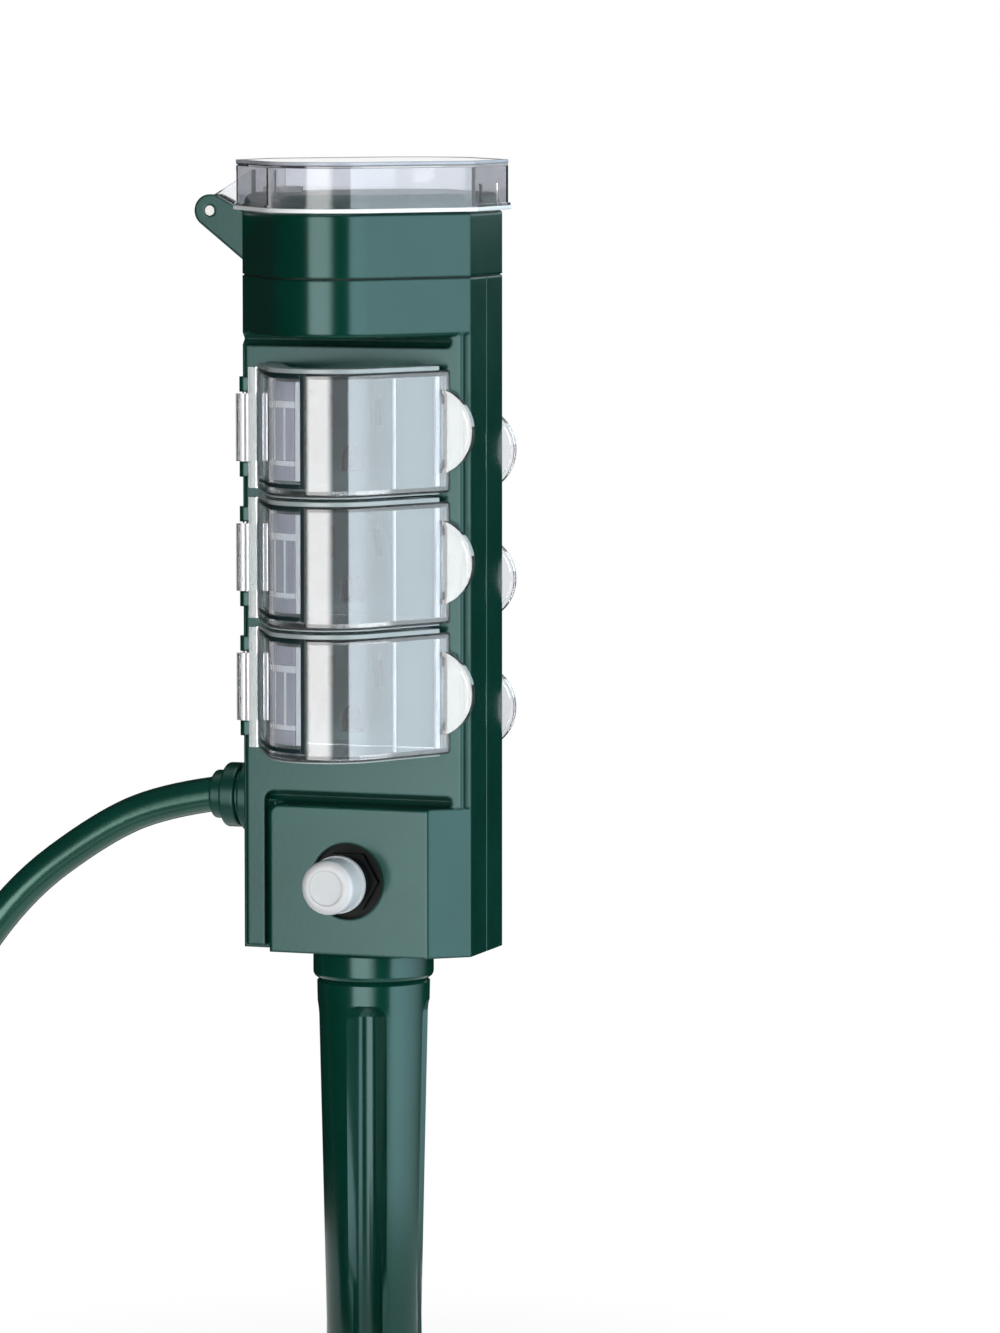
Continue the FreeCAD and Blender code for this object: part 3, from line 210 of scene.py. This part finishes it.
green = moulded("green_plastic", GREEN_DARK, GREEN_LIGHT, (0.15, 0.22), IOR=1.5,
                Specular_Tint=GREEN_SHEEN, edge=0.9 * MM)
green_stake = moulded("green_plastic_stake", GREEN_DARK, GREEN_LIGHT, (0.15, 0.22), IOR=1.5,
                      Specular_Tint=GREEN_SHEEN, edge=0)
green_matte = moulded("green_plastic_matte", (0.002, 0.030, 0.020), (0.003, 0.040, 0.028),
                      (0.26, 0.36), IOR=1.5, Specular_Tint=GREEN_SHEEN)
clear = principled("clear_plastic", Base_Color=(0.90, 0.92, 0.96, 1), Roughness=0.06, IOR=1.49,
                   Transmission_Weight=0.965, Coat_Weight=0.85, Coat_IOR=1.55, Coat_Roughness=0.04)
vary_roughness(clear, noise(clear, 30), 0.005, 0.02)
lid_clear = principled("lid_plastic", Base_Color=(0.74, 0.75, 0.785, 1), Roughness=0.04, IOR=1.49,
                       Transmission_Weight=0.97)
vary_roughness(lid_clear, noise(lid_clear, 30), 0.005, 0.02)
white = moulded("white_plastic", (0.78, 0.78, 0.76), (0.85, 0.85, 0.84), (0.30, 0.42))
milky = moulded("milky_silicone", (0.52, 0.54, 0.56), (0.60, 0.62, 0.64), (0.26, 0.38),
                Transmission_Weight=0.1, Subsurface_Weight=0.1, Subsurface_Scale=0.003)
black = moulded("black_plastic", (0.001, 0.003, 0.003), (0.003, 0.005, 0.005), (0.5, 0.65),
                Specular_IOR_Level=0.25)
nylon = moulded("black_nylon", (0.010, 0.012, 0.012), (0.018, 0.021, 0.020), (0.45, 0.6))
brass = moulded("stamped_brass", (0.62, 0.44, 0.17), (0.76, 0.57, 0.26), (0.2, 0.36), Metallic=1)
spring_brass = moulded("dull_contact_brass", (0.030, 0.022, 0.011), (0.045, 0.033, 0.016),
                       (0.35, 0.5), Metallic=1)
steel = moulded("plated_steel", (0.48, 0.48, 0.50), (0.60, 0.60, 0.61), (0.2, 0.35), Metallic=1)
gasket = moulded("seal_foam", (0.003, 0.008, 0.006), (0.006, 0.012, 0.010), (0.6, 0.8))
board = moulded("solder_mask", (0.010, 0.10, 0.04), (0.014, 0.13, 0.05), (0.25, 0.4))
lens = moulded("light_lens", (0.08, 0.55, 0.2), (0.12, 0.65, 0.25), (0.1, 0.2))
jacket = moulded("cord_jacket", (0.002, 0.032, 0.022), (0.004, 0.044, 0.031), (0.18, 0.28),
                 edge=0, grain=500, height=0.03 * MM, Specular_IOR_Level=0.75,
                 Specular_Tint=(0.6, 1.0, 0.86, 1))
# Pale rib colour: a painted highlight, for the bright bands and lines in the covers' windows and
# the bright line at the lid's lip.
highlight_paint = moulded("painted_highlight_rib", (0.82, 0.86, 0.88), (0.90, 0.93, 0.95), (0.16, 0.26),
                  Transmission_Weight=0.1)
# Pale, half-clear colour for the covers' real rims: a painted highlight for the glow of their
# clear edges.
rim_glow_paint = moulded("painted_rim_glow", (0.34, 0.40, 0.41), (0.46, 0.52, 0.53), (0.18, 0.30),
                     Transmission_Weight=0.3)
# Near-black colour for the covers' frame bars: a painted dark reflection on the clear plastic.
dark_reflection_paint = moulded("painted_dark_reflection_rib", (0.006, 0.016, 0.018), (0.012, 0.026, 0.030), (0.16, 0.26),
                Specular_IOR_Level=0.3)
# Grey-lilac rib colour: painted shade, for the dim inside of the covers' windows and the lid's top
# edge.
lilac_shade_paint = moulded("shaded_rib", (0.36, 0.39, 0.45), (0.46, 0.49, 0.55), (0.14, 0.24),
                Transmission_Weight=0.1)

finish_node(green, "front_housing", "back_housing", "control_head")
finish_node(green_matte, "control_deck", "cord_gland")
finish_node(clear, *[f"{side}_cover_{place}" for side in SIDES for place in PLACES])
finish_node(lid_clear, "lid", "light_pipe")
finish_node(white, "reset_button", "control_button", "lid_hinge_pin")
finish_node(milky, "reset_boot")
finish_node(black, "breaker_body", "breaker_nut", "filter_capacitor", "power_relay",
            "tact_switch", "wifi_module")
finish_node(nylon, "front_contact_carrier", "back_contact_carrier", "insulating_divider",
            "cord_clamp", "stake_retainer")
finish_node(spring_brass, *[f"{side}_{bus}_bus" for side in SIDES
                            for bus in ("live", "neutral", "ground")])
finish_node(brass, "plug_blades", "plug_ground_pin", "breaker_terminals")
finish_node(steel, "housing_screws", "front_hinge_pins", "back_hinge_pins")
finish_node(gasket, "head_gasket")
finish_node(board, "control_board")
finish_node(lens, "status_led")
finish_node(jacket, "cord_tail", "plug_body", "plug_strain_relief")


# Ribs moulded on the clear covers, in mm; their colours are painted dark reflection, painted
# highlight and painted shade

COVER_CENTRE = 31.2
COVER_RADIUS = 16.4
COVER_WALL = 1.5
COVER_HALF = 27.0
COVER_RIM = 15.3
COVER_HEIGHT = 31.8
RIB_STEP = 1.2
RIB_SOFTNESS = 0.15


def flank_angle(half, rise, radius):
    """How far a nose's arc turns each way before its straight flanks begin."""
    return math.asin(radius / math.hypot(half, rise)) + math.atan2(rise, half)


FLANK_ANGLE = flank_angle(COVER_HALF, COVER_CENTRE - COVER_RIM, COVER_RADIUS)


def on_skin(along, depth):
    """Point of a cover's outline, along mm from its nose to the right and depth mm inside it."""
    out = COVER_RADIUS - depth
    bend = COVER_RADIUS * FLANK_ANGLE
    angle = max(-FLANK_ANGLE, min(FLANK_ANGLE, along / COVER_RADIUS))
    spare = along - max(-bend, min(bend, along))
    x = out * math.sin(angle) + spare * math.cos(angle)
    y = -COVER_CENTRE - out * math.cos(angle) + abs(spare) * math.sin(abs(angle))
    return x, y


def rib(mesh, side, start, end, low, high, outer, inner):
    """Adds a bar that follows a cover's skin from start to end, between two heights and depths."""
    steps = max(2, round((end - start) / RIB_STEP) + 1)
    rings = []
    for number in range(steps):
        along = start + (end - start) * number / (steps - 1)
        ring = []
        for depth, height in ((outer, low), (outer, high), (inner, high), (inner, low)):
            x, y = on_skin(along, depth)
            ring.append(mesh.verts.new((x * MM, y * -side * MM, height * MM)))
        rings.append(ring)
    for ring, following in zip(rings, rings[1:]):
        for corner in range(4):
            mesh.faces.new((ring[corner], ring[corner - 1], following[corner - 1],
                            following[corner]))
    mesh.faces.new(rings[0])
    mesh.faces.new(reversed(rings[-1]))


def cover_ribs(name, material, side, place, bars):
    """One piece of ribs that rides on a cover, coloured with painted light or shade.

    Each bar is (start, end, low, high, outer, inner), its heights counted from the cover's middle.
    """
    cover = f"{SIDES[side > 0]}_cover_{place}"
    low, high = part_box(cover)
    middle = (low.z + high.z) / 2 / MM
    mesh = bmesh.new()
    for start, end, lower, upper, outer, inner in bars:
        rib(mesh, side, start, end, middle + lower, middle + upper, outer, inner)
    piece = place_piece(f"{name}_{SIDES[side > 0]}_{place}", mesh, material)
    soften_edges(piece, RIB_SOFTNESS)
    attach(piece, cover)


TOP = COVER_HEIGHT / 2
SKIN = COVER_WALL
PROUD = -0.1
# Frame bars whose near-black colour is a painted dark reflection.
DARK_BARS = [
    (42.4, 43.2, 1.6 - TOP, TOP - 1.6, SKIN, 2.4),
    (-2.2, -0.8, 2.1 - TOP, TOP - 0.1, PROUD, 0.7),
    (-38.0, -2.2, TOP - 1.2, TOP - 0.1, PROUD, 0.7),
    (-38.0, -2.2, 2.1 - TOP, 3.2 - TOP, PROUD, 0.7),
    (-38.0, -34.0, 3.2 - TOP, TOP - 1.2, SKIN, 3.2),
]
# Window bars whose pale colour is a painted highlight on the bright bands and lines.
LIGHT_BARS = [
    (-4.4, -2.8, 4.0 - TOP, TOP - 2.2, SKIN, 2.6),
    (-30.0, -4.6, TOP - 9.0, TOP - 7.2, SKIN, 2.4),
    (-30.0, -4.6, 7.8 - TOP, 9.2 - TOP, SKIN, 2.4),
    (-30.0, -17.6, 4.0 - TOP, TOP - 2.2, SKIN, 2.4),
    (-8.8, -7.9, 9.2 - TOP, TOP - 9.0, SKIN, 2.6),
    (-13.4, -12.6, 9.2 - TOP, TOP - 9.0, SKIN, 2.6),
    (26.0, 26.7, 1.6 - TOP, TOP - 1.6, SKIN, 2.3),
    (40.6, 42.0, 1.6 - TOP, TOP - 1.6, SKIN, 2.4),
]
# Bars whose grey-lilac colour is painted shade inside the window.
SHADED_BARS = [
    (-17.6, -4.6, TOP - 7.2, TOP - 2.2, SKIN, 2.0),
    (-17.6, -4.6, 4.0 - TOP, 7.8 - TOP, SKIN, 2.0),
    (-17.6, -13.4, 9.2 - TOP, TOP - 9.0, SKIN, 1.9),
    (-12.6, -8.8, 9.2 - TOP, TOP - 9.0, SKIN, 1.9),
    (-7.9, -4.6, 9.2 - TOP, TOP - 9.0, SKIN, 1.9),
]
# Real rims at the covers' top and bottom, whose pale colour is a painted highlight of their
# glowing clear edges.
LIP_REACH = 41.0
LIP_BARS = [
    (-LIP_REACH, LIP_REACH, TOP, TOP + 1.2, 0.0, 6.0),
    (-LIP_REACH, LIP_REACH, -TOP - 0.4, -TOP, 0.0, 1.2),
]

# Every cover gets a painted dark reflection frame, a painted highlight window, painted shade bars
# and rims with a painted glow.
for side in (-1, 1):
    for place in PLACES:
        cover_ribs("cover_frame", dark_reflection_paint, side, place, DARK_BARS)
        cover_ribs("cover_window", highlight_paint, side, place, LIGHT_BARS)
        cover_ribs("cover_shade", lilac_shade_paint, side, place, SHADED_BARS)
        cover_ribs("cover_lip", rim_glow_paint, side, place, LIP_BARS)


# The lip and the top edge of the lid, in mm: a painted highlight on the lip and painted shade on
# the edge

NOSE_CENTRE, NOSE_RADIUS = 30.0, 15.8
BODY_HALF, SIDE_HALF = 31.8, 12.4
LID_HEIGHT = 13.0
RING_SOFTNESS = 0.2
ARC_HALVES = 12


def nosed_outline(stand):
    """Outline of the head moved out by stand, from its front left corner to its back left one."""
    half, radius = BODY_HALF + stand, NOSE_RADIUS + stand
    corner = SIDE_HALF + stand / 3
    bend = flank_angle(half, NOSE_CENTRE - corner, radius)
    arc = [bend * (i / ARC_HALVES - 1) for i in range(2 * ARC_HALVES + 1)]
    front = [(-half, -corner)]
    front += [(radius * math.sin(a), -NOSE_CENTRE - radius * math.cos(a)) for a in arc]
    front.append((half, -corner))
    return front + [(x, -y) for x, y in reversed(front)]


def lid_ring(name, material, out, inner, low, high):
    """Band round the lid, out and inner past the head's outline, low to high below its top."""
    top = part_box("lid")[1].z / MM
    mesh = bmesh.new()
    loops = []
    for stand, drop in ((out, low), (out, high), (inner, high), (inner, low)):
        loops.append([mesh.verts.new((x * MM, y * MM, (top - drop) * MM))
                      for x, y in nosed_outline(stand)])
    for loop, following in zip(loops, loops[1:] + loops[:1]):
        for number in range(len(loop)):
            mesh.faces.new((loop[number - 1], loop[number], following[number],
                            following[number - 1]))
    ring = place_piece(name, mesh, material)
    soften_edges(ring, RING_SOFTNESS)
    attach(ring, "lid")


# The lid's bright lip line is a painted highlight and its grey-lilac top edge is painted shade.
lid_ring("lid_lip", highlight_paint, out=2.3, inner=0.9, low=LID_HEIGHT, high=LID_HEIGHT - 1.1)
lid_ring("lid_edge", lilac_shade_paint, out=1.6, inner=0.4, low=0.85, high=-0.1)


# The stake with its four flutes, in mm: its solid has only the front one

POST_BOTTOM = 120.0
COLLAR_RADIUS, COLLAR_HEIGHT, COLLAR_ROUND = 16.0, 8.0, 1.6
SPIGOT_RADIUS, SPIGOT_HEIGHT = 10.0, 8.0
SPIGOT_CENTRE = 0.5
NECK_INSET = 2.0
SHAFT_START = COLLAR_HEIGHT + 1
SHAFT_TOP, SHAFT_LOW, TIP_RADIUS = 15.0, 11.0, 1.0
STAKE_LENGTH, TIP_LENGTH = 240.0, 46.0
SHAFT_END = STAKE_LENGTH - TIP_LENGTH
FLUTE_RADIUS, FLUTE_OFFSET = 4.2, 13.6
FLUTE_COUNT = 4
FLUTE_END = 18.2
FLUTE_TURN = math.radians(12.5)
HALF_TURN = math.pi / FLUTE_COUNT
LAND_STEPS, FLUTE_STEPS = 6, 14
LEAST_FLUTE = 0.03
SHARP_ANGLE = math.radians(28)
WELD = 1e-6


def shaft_radius(depth):
    """Radius of the tapered shaft or its tip at a depth under the post."""
    if depth <= SHAFT_END:
        share = (depth - SHAFT_START) / (SHAFT_END - SHAFT_START)
        return SHAFT_TOP + (SHAFT_LOW - SHAFT_TOP) * share
    return SHAFT_LOW + (TIP_RADIUS - SHAFT_LOW) * (depth - SHAFT_END) / TIP_LENGTH


def quarter(radius, bite):
    """Angles and radii over a quarter turn round a flute whose section has radius bite."""
    reach = (radius ** 2 + FLUTE_OFFSET ** 2 - bite ** 2) / (2 * radius * FLUTE_OFFSET)
    edge = math.acos(reach) if reach < 1 else 0
    width = max(edge, LEAST_FLUTE)
    land = [(-HALF_TURN + (HALF_TURN - width) * i / LAND_STEPS, radius)
            for i in range(LAND_STEPS)]
    cut = []
    for i in range(FLUTE_STEPS + 1):
        angle = width * (2 * i / FLUTE_STEPS - 1)
        spare = bite ** 2 - (FLUTE_OFFSET * math.sin(angle)) ** 2
        near = FLUTE_OFFSET * math.cos(angle) - math.sqrt(max(spare, 0)) if edge else radius
        cut.append((angle, min(radius, near)))
    return land + cut + [(-angle, radius) for angle, _ in reversed(land[1:])]


def stake_levels():
    """Pairs of a depth under the post and the stake's radius there, from the spigot down."""
    rounds = [math.radians(15 * i) for i in range(7)]
    core = COLLAR_RADIUS - COLLAR_ROUND
    levels = [(-SPIGOT_HEIGHT, SPIGOT_CENTRE), (-SPIGOT_HEIGHT, SPIGOT_RADIUS), (0, SPIGOT_RADIUS)]
    levels += [(COLLAR_ROUND * (1 - math.cos(a)), core + COLLAR_ROUND * math.sin(a))
               for a in rounds]
    levels += [(COLLAR_HEIGHT - COLLAR_ROUND * (1 - math.sin(a)),
                core + COLLAR_ROUND * math.cos(a)) for a in rounds]
    levels.append((COLLAR_HEIGHT, COLLAR_RADIUS - NECK_INSET))
    depths = [SHAFT_START, SHAFT_START + 2, SHAFT_START + 4]
    depths += [FLUTE_END - FLUTE_RADIUS * math.cos(math.radians(5 * i)) for i in range(1, 19)]
    depths += [FLUTE_END + 8 * i for i in range(1, 22)]
    depths += [SHAFT_END + TIP_LENGTH * i / 8 for i in range(9)]
    return levels + [(depth, shaft_radius(depth)) for depth in depths]


def fluted_stake():
    """The stake as one mesh of rings, in place of the solid, which lacks three flutes."""
    mesh = bmesh.new()
    rings = []
    for depth, radius in stake_levels():
        above = max(FLUTE_END - depth, 0)
        bite = math.sqrt(max(FLUTE_RADIUS ** 2 - above ** 2, 0))
        in_shaft = SHAFT_START < depth < STAKE_LENGTH
        ring = []
        for turn in range(FLUTE_COUNT):
            for angle, out in quarter(radius, bite if in_shaft else 0):
                around = angle + 2 * HALF_TURN * turn + FLUTE_TURN
                ring.append(mesh.verts.new((out * math.sin(around) * MM,
                                            -out * math.cos(around) * MM,
                                            (POST_BOTTOM - depth) * MM)))
        rings.append(ring)
    for ring, following in zip(rings, rings[1:]):
        for number, corner in enumerate(ring):
            mesh.faces.new((ring[number - 1], corner, following[number], following[number - 1]))
    mesh.faces.new(rings[0])
    mesh.faces.new(reversed(rings[-1]))
    bmesh.ops.remove_doubles(mesh, verts=mesh.verts, dist=WELD)
    stake = place_piece("fluted_stake", mesh, green_stake)
    stake.data.shade_smooth()
    stake.data.set_sharp_from_angle(angle=SHARP_ANGLE)
    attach(stake, "post")
    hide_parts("stake")


fluted_stake()


# The mains cord, in mm

CORD_RADIUS = 4.65
CORD_ROUTE = [
    (-44.6, 0, 159.0), (-60.0, 0, 156.5), (-78.0, 0, 148.5), (-104.0, 0, 129.5),
    (-124.0, -3, 99.0), (-135.5, -15, 63.0), (-143.5, -40, 30.0), (-146.0, -71, 4.65),
    (-146.0, -110, 4.65),
]
COIL_RADIUS = 64.0
COIL_GAP = 0.8
COIL_TURNS = 4.25
COIL_TAIL = 30.0
POINTS_PER_TURN = 24


def coil_points():
    """Points of a coil in two layers: in along the ground, up half a turn and out on top."""
    pitch = 2 * CORD_RADIUS + COIL_GAP
    begin = Vector(CORD_ROUTE[-1])
    middle = begin + Vector((COIL_RADIUS, 0, 0))
    each_way = (COIL_TURNS - 0.5) / 2
    inner = COIL_RADIUS - pitch * each_way
    step = 2 * math.pi / POINTS_PER_TURN
    bulge = 4 / (3 + math.cos(step))
    points = []
    for number in range(1, round(COIL_TURNS * POINTS_PER_TURN) + 1):
        turn = number / POINTS_PER_TURN
        if turn <= each_way:
            out, rise = COIL_RADIUS - pitch * turn, 0
        elif turn >= each_way + 0.5:
            out, rise = inner + pitch * (turn - each_way - 0.5), pitch
        else:
            share = (turn - each_way) / 0.5
            out = inner - pitch * (share - share ** 2) / 2
            rise = pitch * (1 - math.cos(math.pi * share)) / 2
        angle = math.pi + 2 * math.pi * turn
        points.append(middle + Vector((math.cos(angle) * out * bulge,
                                       math.sin(angle) * out * bulge, rise)))
    points.append(points[-1] + Vector((COIL_TAIL, 0, 0)))
    return points


def power_cord():
    """The whole cord as one smooth curve, from the gland to the plug's strain relief."""
    curve = bpy.data.curves.new("mains_cord", "CURVE")
    curve.dimensions = "3D"
    curve.resolution_u = 8
    curve.bevel_depth = CORD_RADIUS * MM
    curve.bevel_resolution = 8
    curve.use_fill_caps = True
    spline = curve.splines.new("NURBS")
    points = [Vector(p) for p in CORD_ROUTE] + coil_points()
    spline.points.add(len(points) - 1)
    for slot, point in zip(spline.points, points):
        slot.co = (*(point * MM), 1)
    spline.order_u = 3
    spline.use_endpoint_u = True
    cord = bpy.data.objects.new("mains_cord", curve)
    bpy.context.collection.objects.link(cord)
    curve.materials.append(jacket)
    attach(cord, "post")
    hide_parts("power_cord", "cord_coil")


power_cord()


# Floor, backdrop and lamps

FLOOR_RADIUS = 0.24
FLOOR_CORNERS = 96
FADE_START, FADE_END = 0.2 * FLOOR_RADIUS, 0.7 * FLOOR_RADIUS
LEAST_FADE = 0.9
ROOM_GLOW = 0.012
SEEN_THROUGH = 0.6
PATCH_CORE, PATCH_EDGE = math.radians(4), math.radians(10)
BACKDROP_TURN = math.radians(180 + CAMERA_AZIMUTH)


def greater(tree, first, second):
    """Adds a node that gives the greater of two sockets."""
    either = node_adder(tree)("ShaderNodeMath", operation="MAXIMUM")
    tree.links.new(first, either.inputs[0])
    tree.links.new(second, either.inputs[1])
    return either.outputs["Value"]


def seen_plainly(tree):
    """Gives a socket that is 1 for camera, glossy and transmission rays and 0 for the rest."""
    path = tree.nodes.new("ShaderNodeLightPath")
    highest = path.outputs["Is Camera Ray"]
    for ray in ("Is Glossy Ray", "Is Transmission Ray"):
        highest = greater(tree, highest, path.outputs[ray])
    return highest


def floor():
    """Pale disc on the ground that looks white, keeps a faint shadow and fades at its rim."""
    mesh = bpy.data.meshes.new("floor")
    turns = [2 * math.pi * i / FLOOR_CORNERS for i in range(FLOOR_CORNERS)]
    corners = [(FLOOR_RADIUS * math.cos(a), FLOOR_RADIUS * math.sin(a), 0) for a in turns]
    mesh.from_pydata(corners, [], [tuple(range(FLOOR_CORNERS))])
    disc = bpy.data.objects.new("floor", mesh)
    bpy.context.collection.objects.link(disc)
    material = principled("pale_floor", Base_Color=(0.8, 0.8, 0.8, 1), Roughness=0.8)
    tree, shader, add = nodes_of(material)
    place = add("ShaderNodeTexCoord")
    length = add("ShaderNodeVectorMath", operation="LENGTH")
    fade = add("ShaderNodeMapRange", interpolation_type="SMOOTHSTEP")
    fade.inputs["From Min"].default_value = FADE_START
    fade.inputs["From Max"].default_value = FADE_END
    fade.inputs["To Min"].default_value = LEAST_FADE
    visible = add("ShaderNodeMath", operation="MULTIPLY")
    glow = add("ShaderNodeEmission")
    mix = add("ShaderNodeMixShader")
    tree.links.new(place.outputs["Object"], length.inputs[0])
    tree.links.new(length.outputs["Value"], fade.inputs["Value"])
    tree.links.new(fade.outputs["Result"], visible.inputs[0])
    tree.links.new(seen_plainly(tree), visible.inputs[1])
    tree.links.new(visible.outputs["Value"], mix.inputs["Fac"])
    tree.links.new(shader.outputs["BSDF"], mix.inputs[1])
    tree.links.new(glow.outputs["Emission"], mix.inputs[2])
    tree.links.new(mix.outputs["Shader"], tree.nodes["Material Output"].inputs["Surface"])
    mesh.materials.append(material)


def world():
    """White for the camera, pale for see-through plastics, and a dim room for everything else.

    Only a patch straight behind the object is white to all rays, so that gloss shows it too.
    """
    room = bpy.data.worlds.new("studio")
    room.use_nodes = True
    bpy.context.scene.world = room
    tree = room.node_tree
    add = node_adder(tree)
    place = add("ShaderNodeTexCoord")
    towards = add("ShaderNodeVectorMath", operation="DOT_PRODUCT")
    towards.inputs[1].default_value = (math.sin(BACKDROP_TURN), -math.cos(BACKDROP_TURN), 0)
    tree.links.new(place.outputs["Generated"], towards.inputs[0])
    path = add("ShaderNodeLightPath")
    patch = add("ShaderNodeMapRange", interpolation_type="SMOOTHSTEP")
    patch.inputs["From Min"].default_value = math.cos(PATCH_EDGE)
    patch.inputs["From Max"].default_value = math.cos(PATCH_CORE)
    patch.inputs["To Min"].default_value = ROOM_GLOW
    tree.links.new(towards.outputs["Value"], patch.inputs["Value"])
    strength = greater(tree, patch.outputs["Result"], path.outputs["Is Camera Ray"])
    paler = add("ShaderNodeMath", operation="MULTIPLY")
    paler.inputs[1].default_value = SEEN_THROUGH
    tree.links.new(path.outputs["Is Transmission Ray"], paler.inputs[0])
    strength = greater(tree, strength, paler.outputs["Value"])
    background = tree.nodes["Background"]
    background.inputs["Color"].default_value = (1, 1, 1, 1)
    tree.links.new(strength, background.inputs["Strength"])


def softbox(name, azimuth, distance, width, height, middle, radiance, colour=(1, 1, 1)):
    """Upright soft lamp that faces the post; azimuth is counted from the camera, to the right."""
    data = bpy.data.lights.new(name, "AREA")
    data.shape = "RECTANGLE"
    data.size, data.size_y = width, height
    data.energy = radiance * math.pi * width * height
    data.color = colour
    lamp = bpy.data.objects.new(name, data)
    bpy.context.collection.objects.link(lamp)
    around = math.radians(CAMERA_AZIMUTH + azimuth)
    lamp.location = (distance * math.sin(around), -distance * math.cos(around), middle)
    lamp.rotation_euler = (math.pi / 2, 0, around)
    lamp.visible_camera = False
    return lamp


def soften(lamp, soft_left, soft_right):
    """Lets a lamp's brightness rise from its left edge and fall to its right one."""
    lamp.data.use_nodes = True
    tree = lamp.data.node_tree
    add = node_adder(tree)
    emission = tree.nodes["Emission"]
    place = add("ShaderNodeNewGeometry")
    apart = add("ShaderNodeSeparateXYZ")
    both = add("ShaderNodeMath", operation="MULTIPLY")
    tree.links.new(place.outputs["Parametric"], apart.inputs["Vector"])
    for slot, (low, high) in enumerate(((0, soft_left), (1, 1 - soft_right))):
        ramp = add("ShaderNodeMapRange", interpolation_type="SMOOTHSTEP")
        ramp.inputs["From Min"].default_value = low
        ramp.inputs["From Max"].default_value = high
        tree.links.new(apart.outputs["X"], ramp.inputs["Value"])
        tree.links.new(ramp.outputs["Result"], both.inputs[slot])
    tree.links.new(both.outputs["Value"], emission.inputs["Strength"])


def overhead(radiance):
    """Soft lamp above the post."""
    lamp = softbox("top_softbox", 0, 0, 1.2, 1.2, 1.9, radiance)
    lamp.rotation_euler = (0, 0, 0)


floor()
world()
soften(softbox("left_softbox", -20.5, 2.0, 2.0, 1.7, 0.0, 5.3, (1.0, 0.98, 0.96)), 0.16, 0.3)
soften(softbox("right_softbox", 79, 1.8, 3.8, 2.2, 0.2, 4.1, (0.84, 0.94, 1.0)), 0.03, 0.8)
softbox("rim_softbox", 139, 1.8, 0.7, 1.0, 0.8, 1.5, (0.8, 0.95, 1.0))
overhead(3.0)

bpy.context.scene.view_settings.view_transform = "Standard"
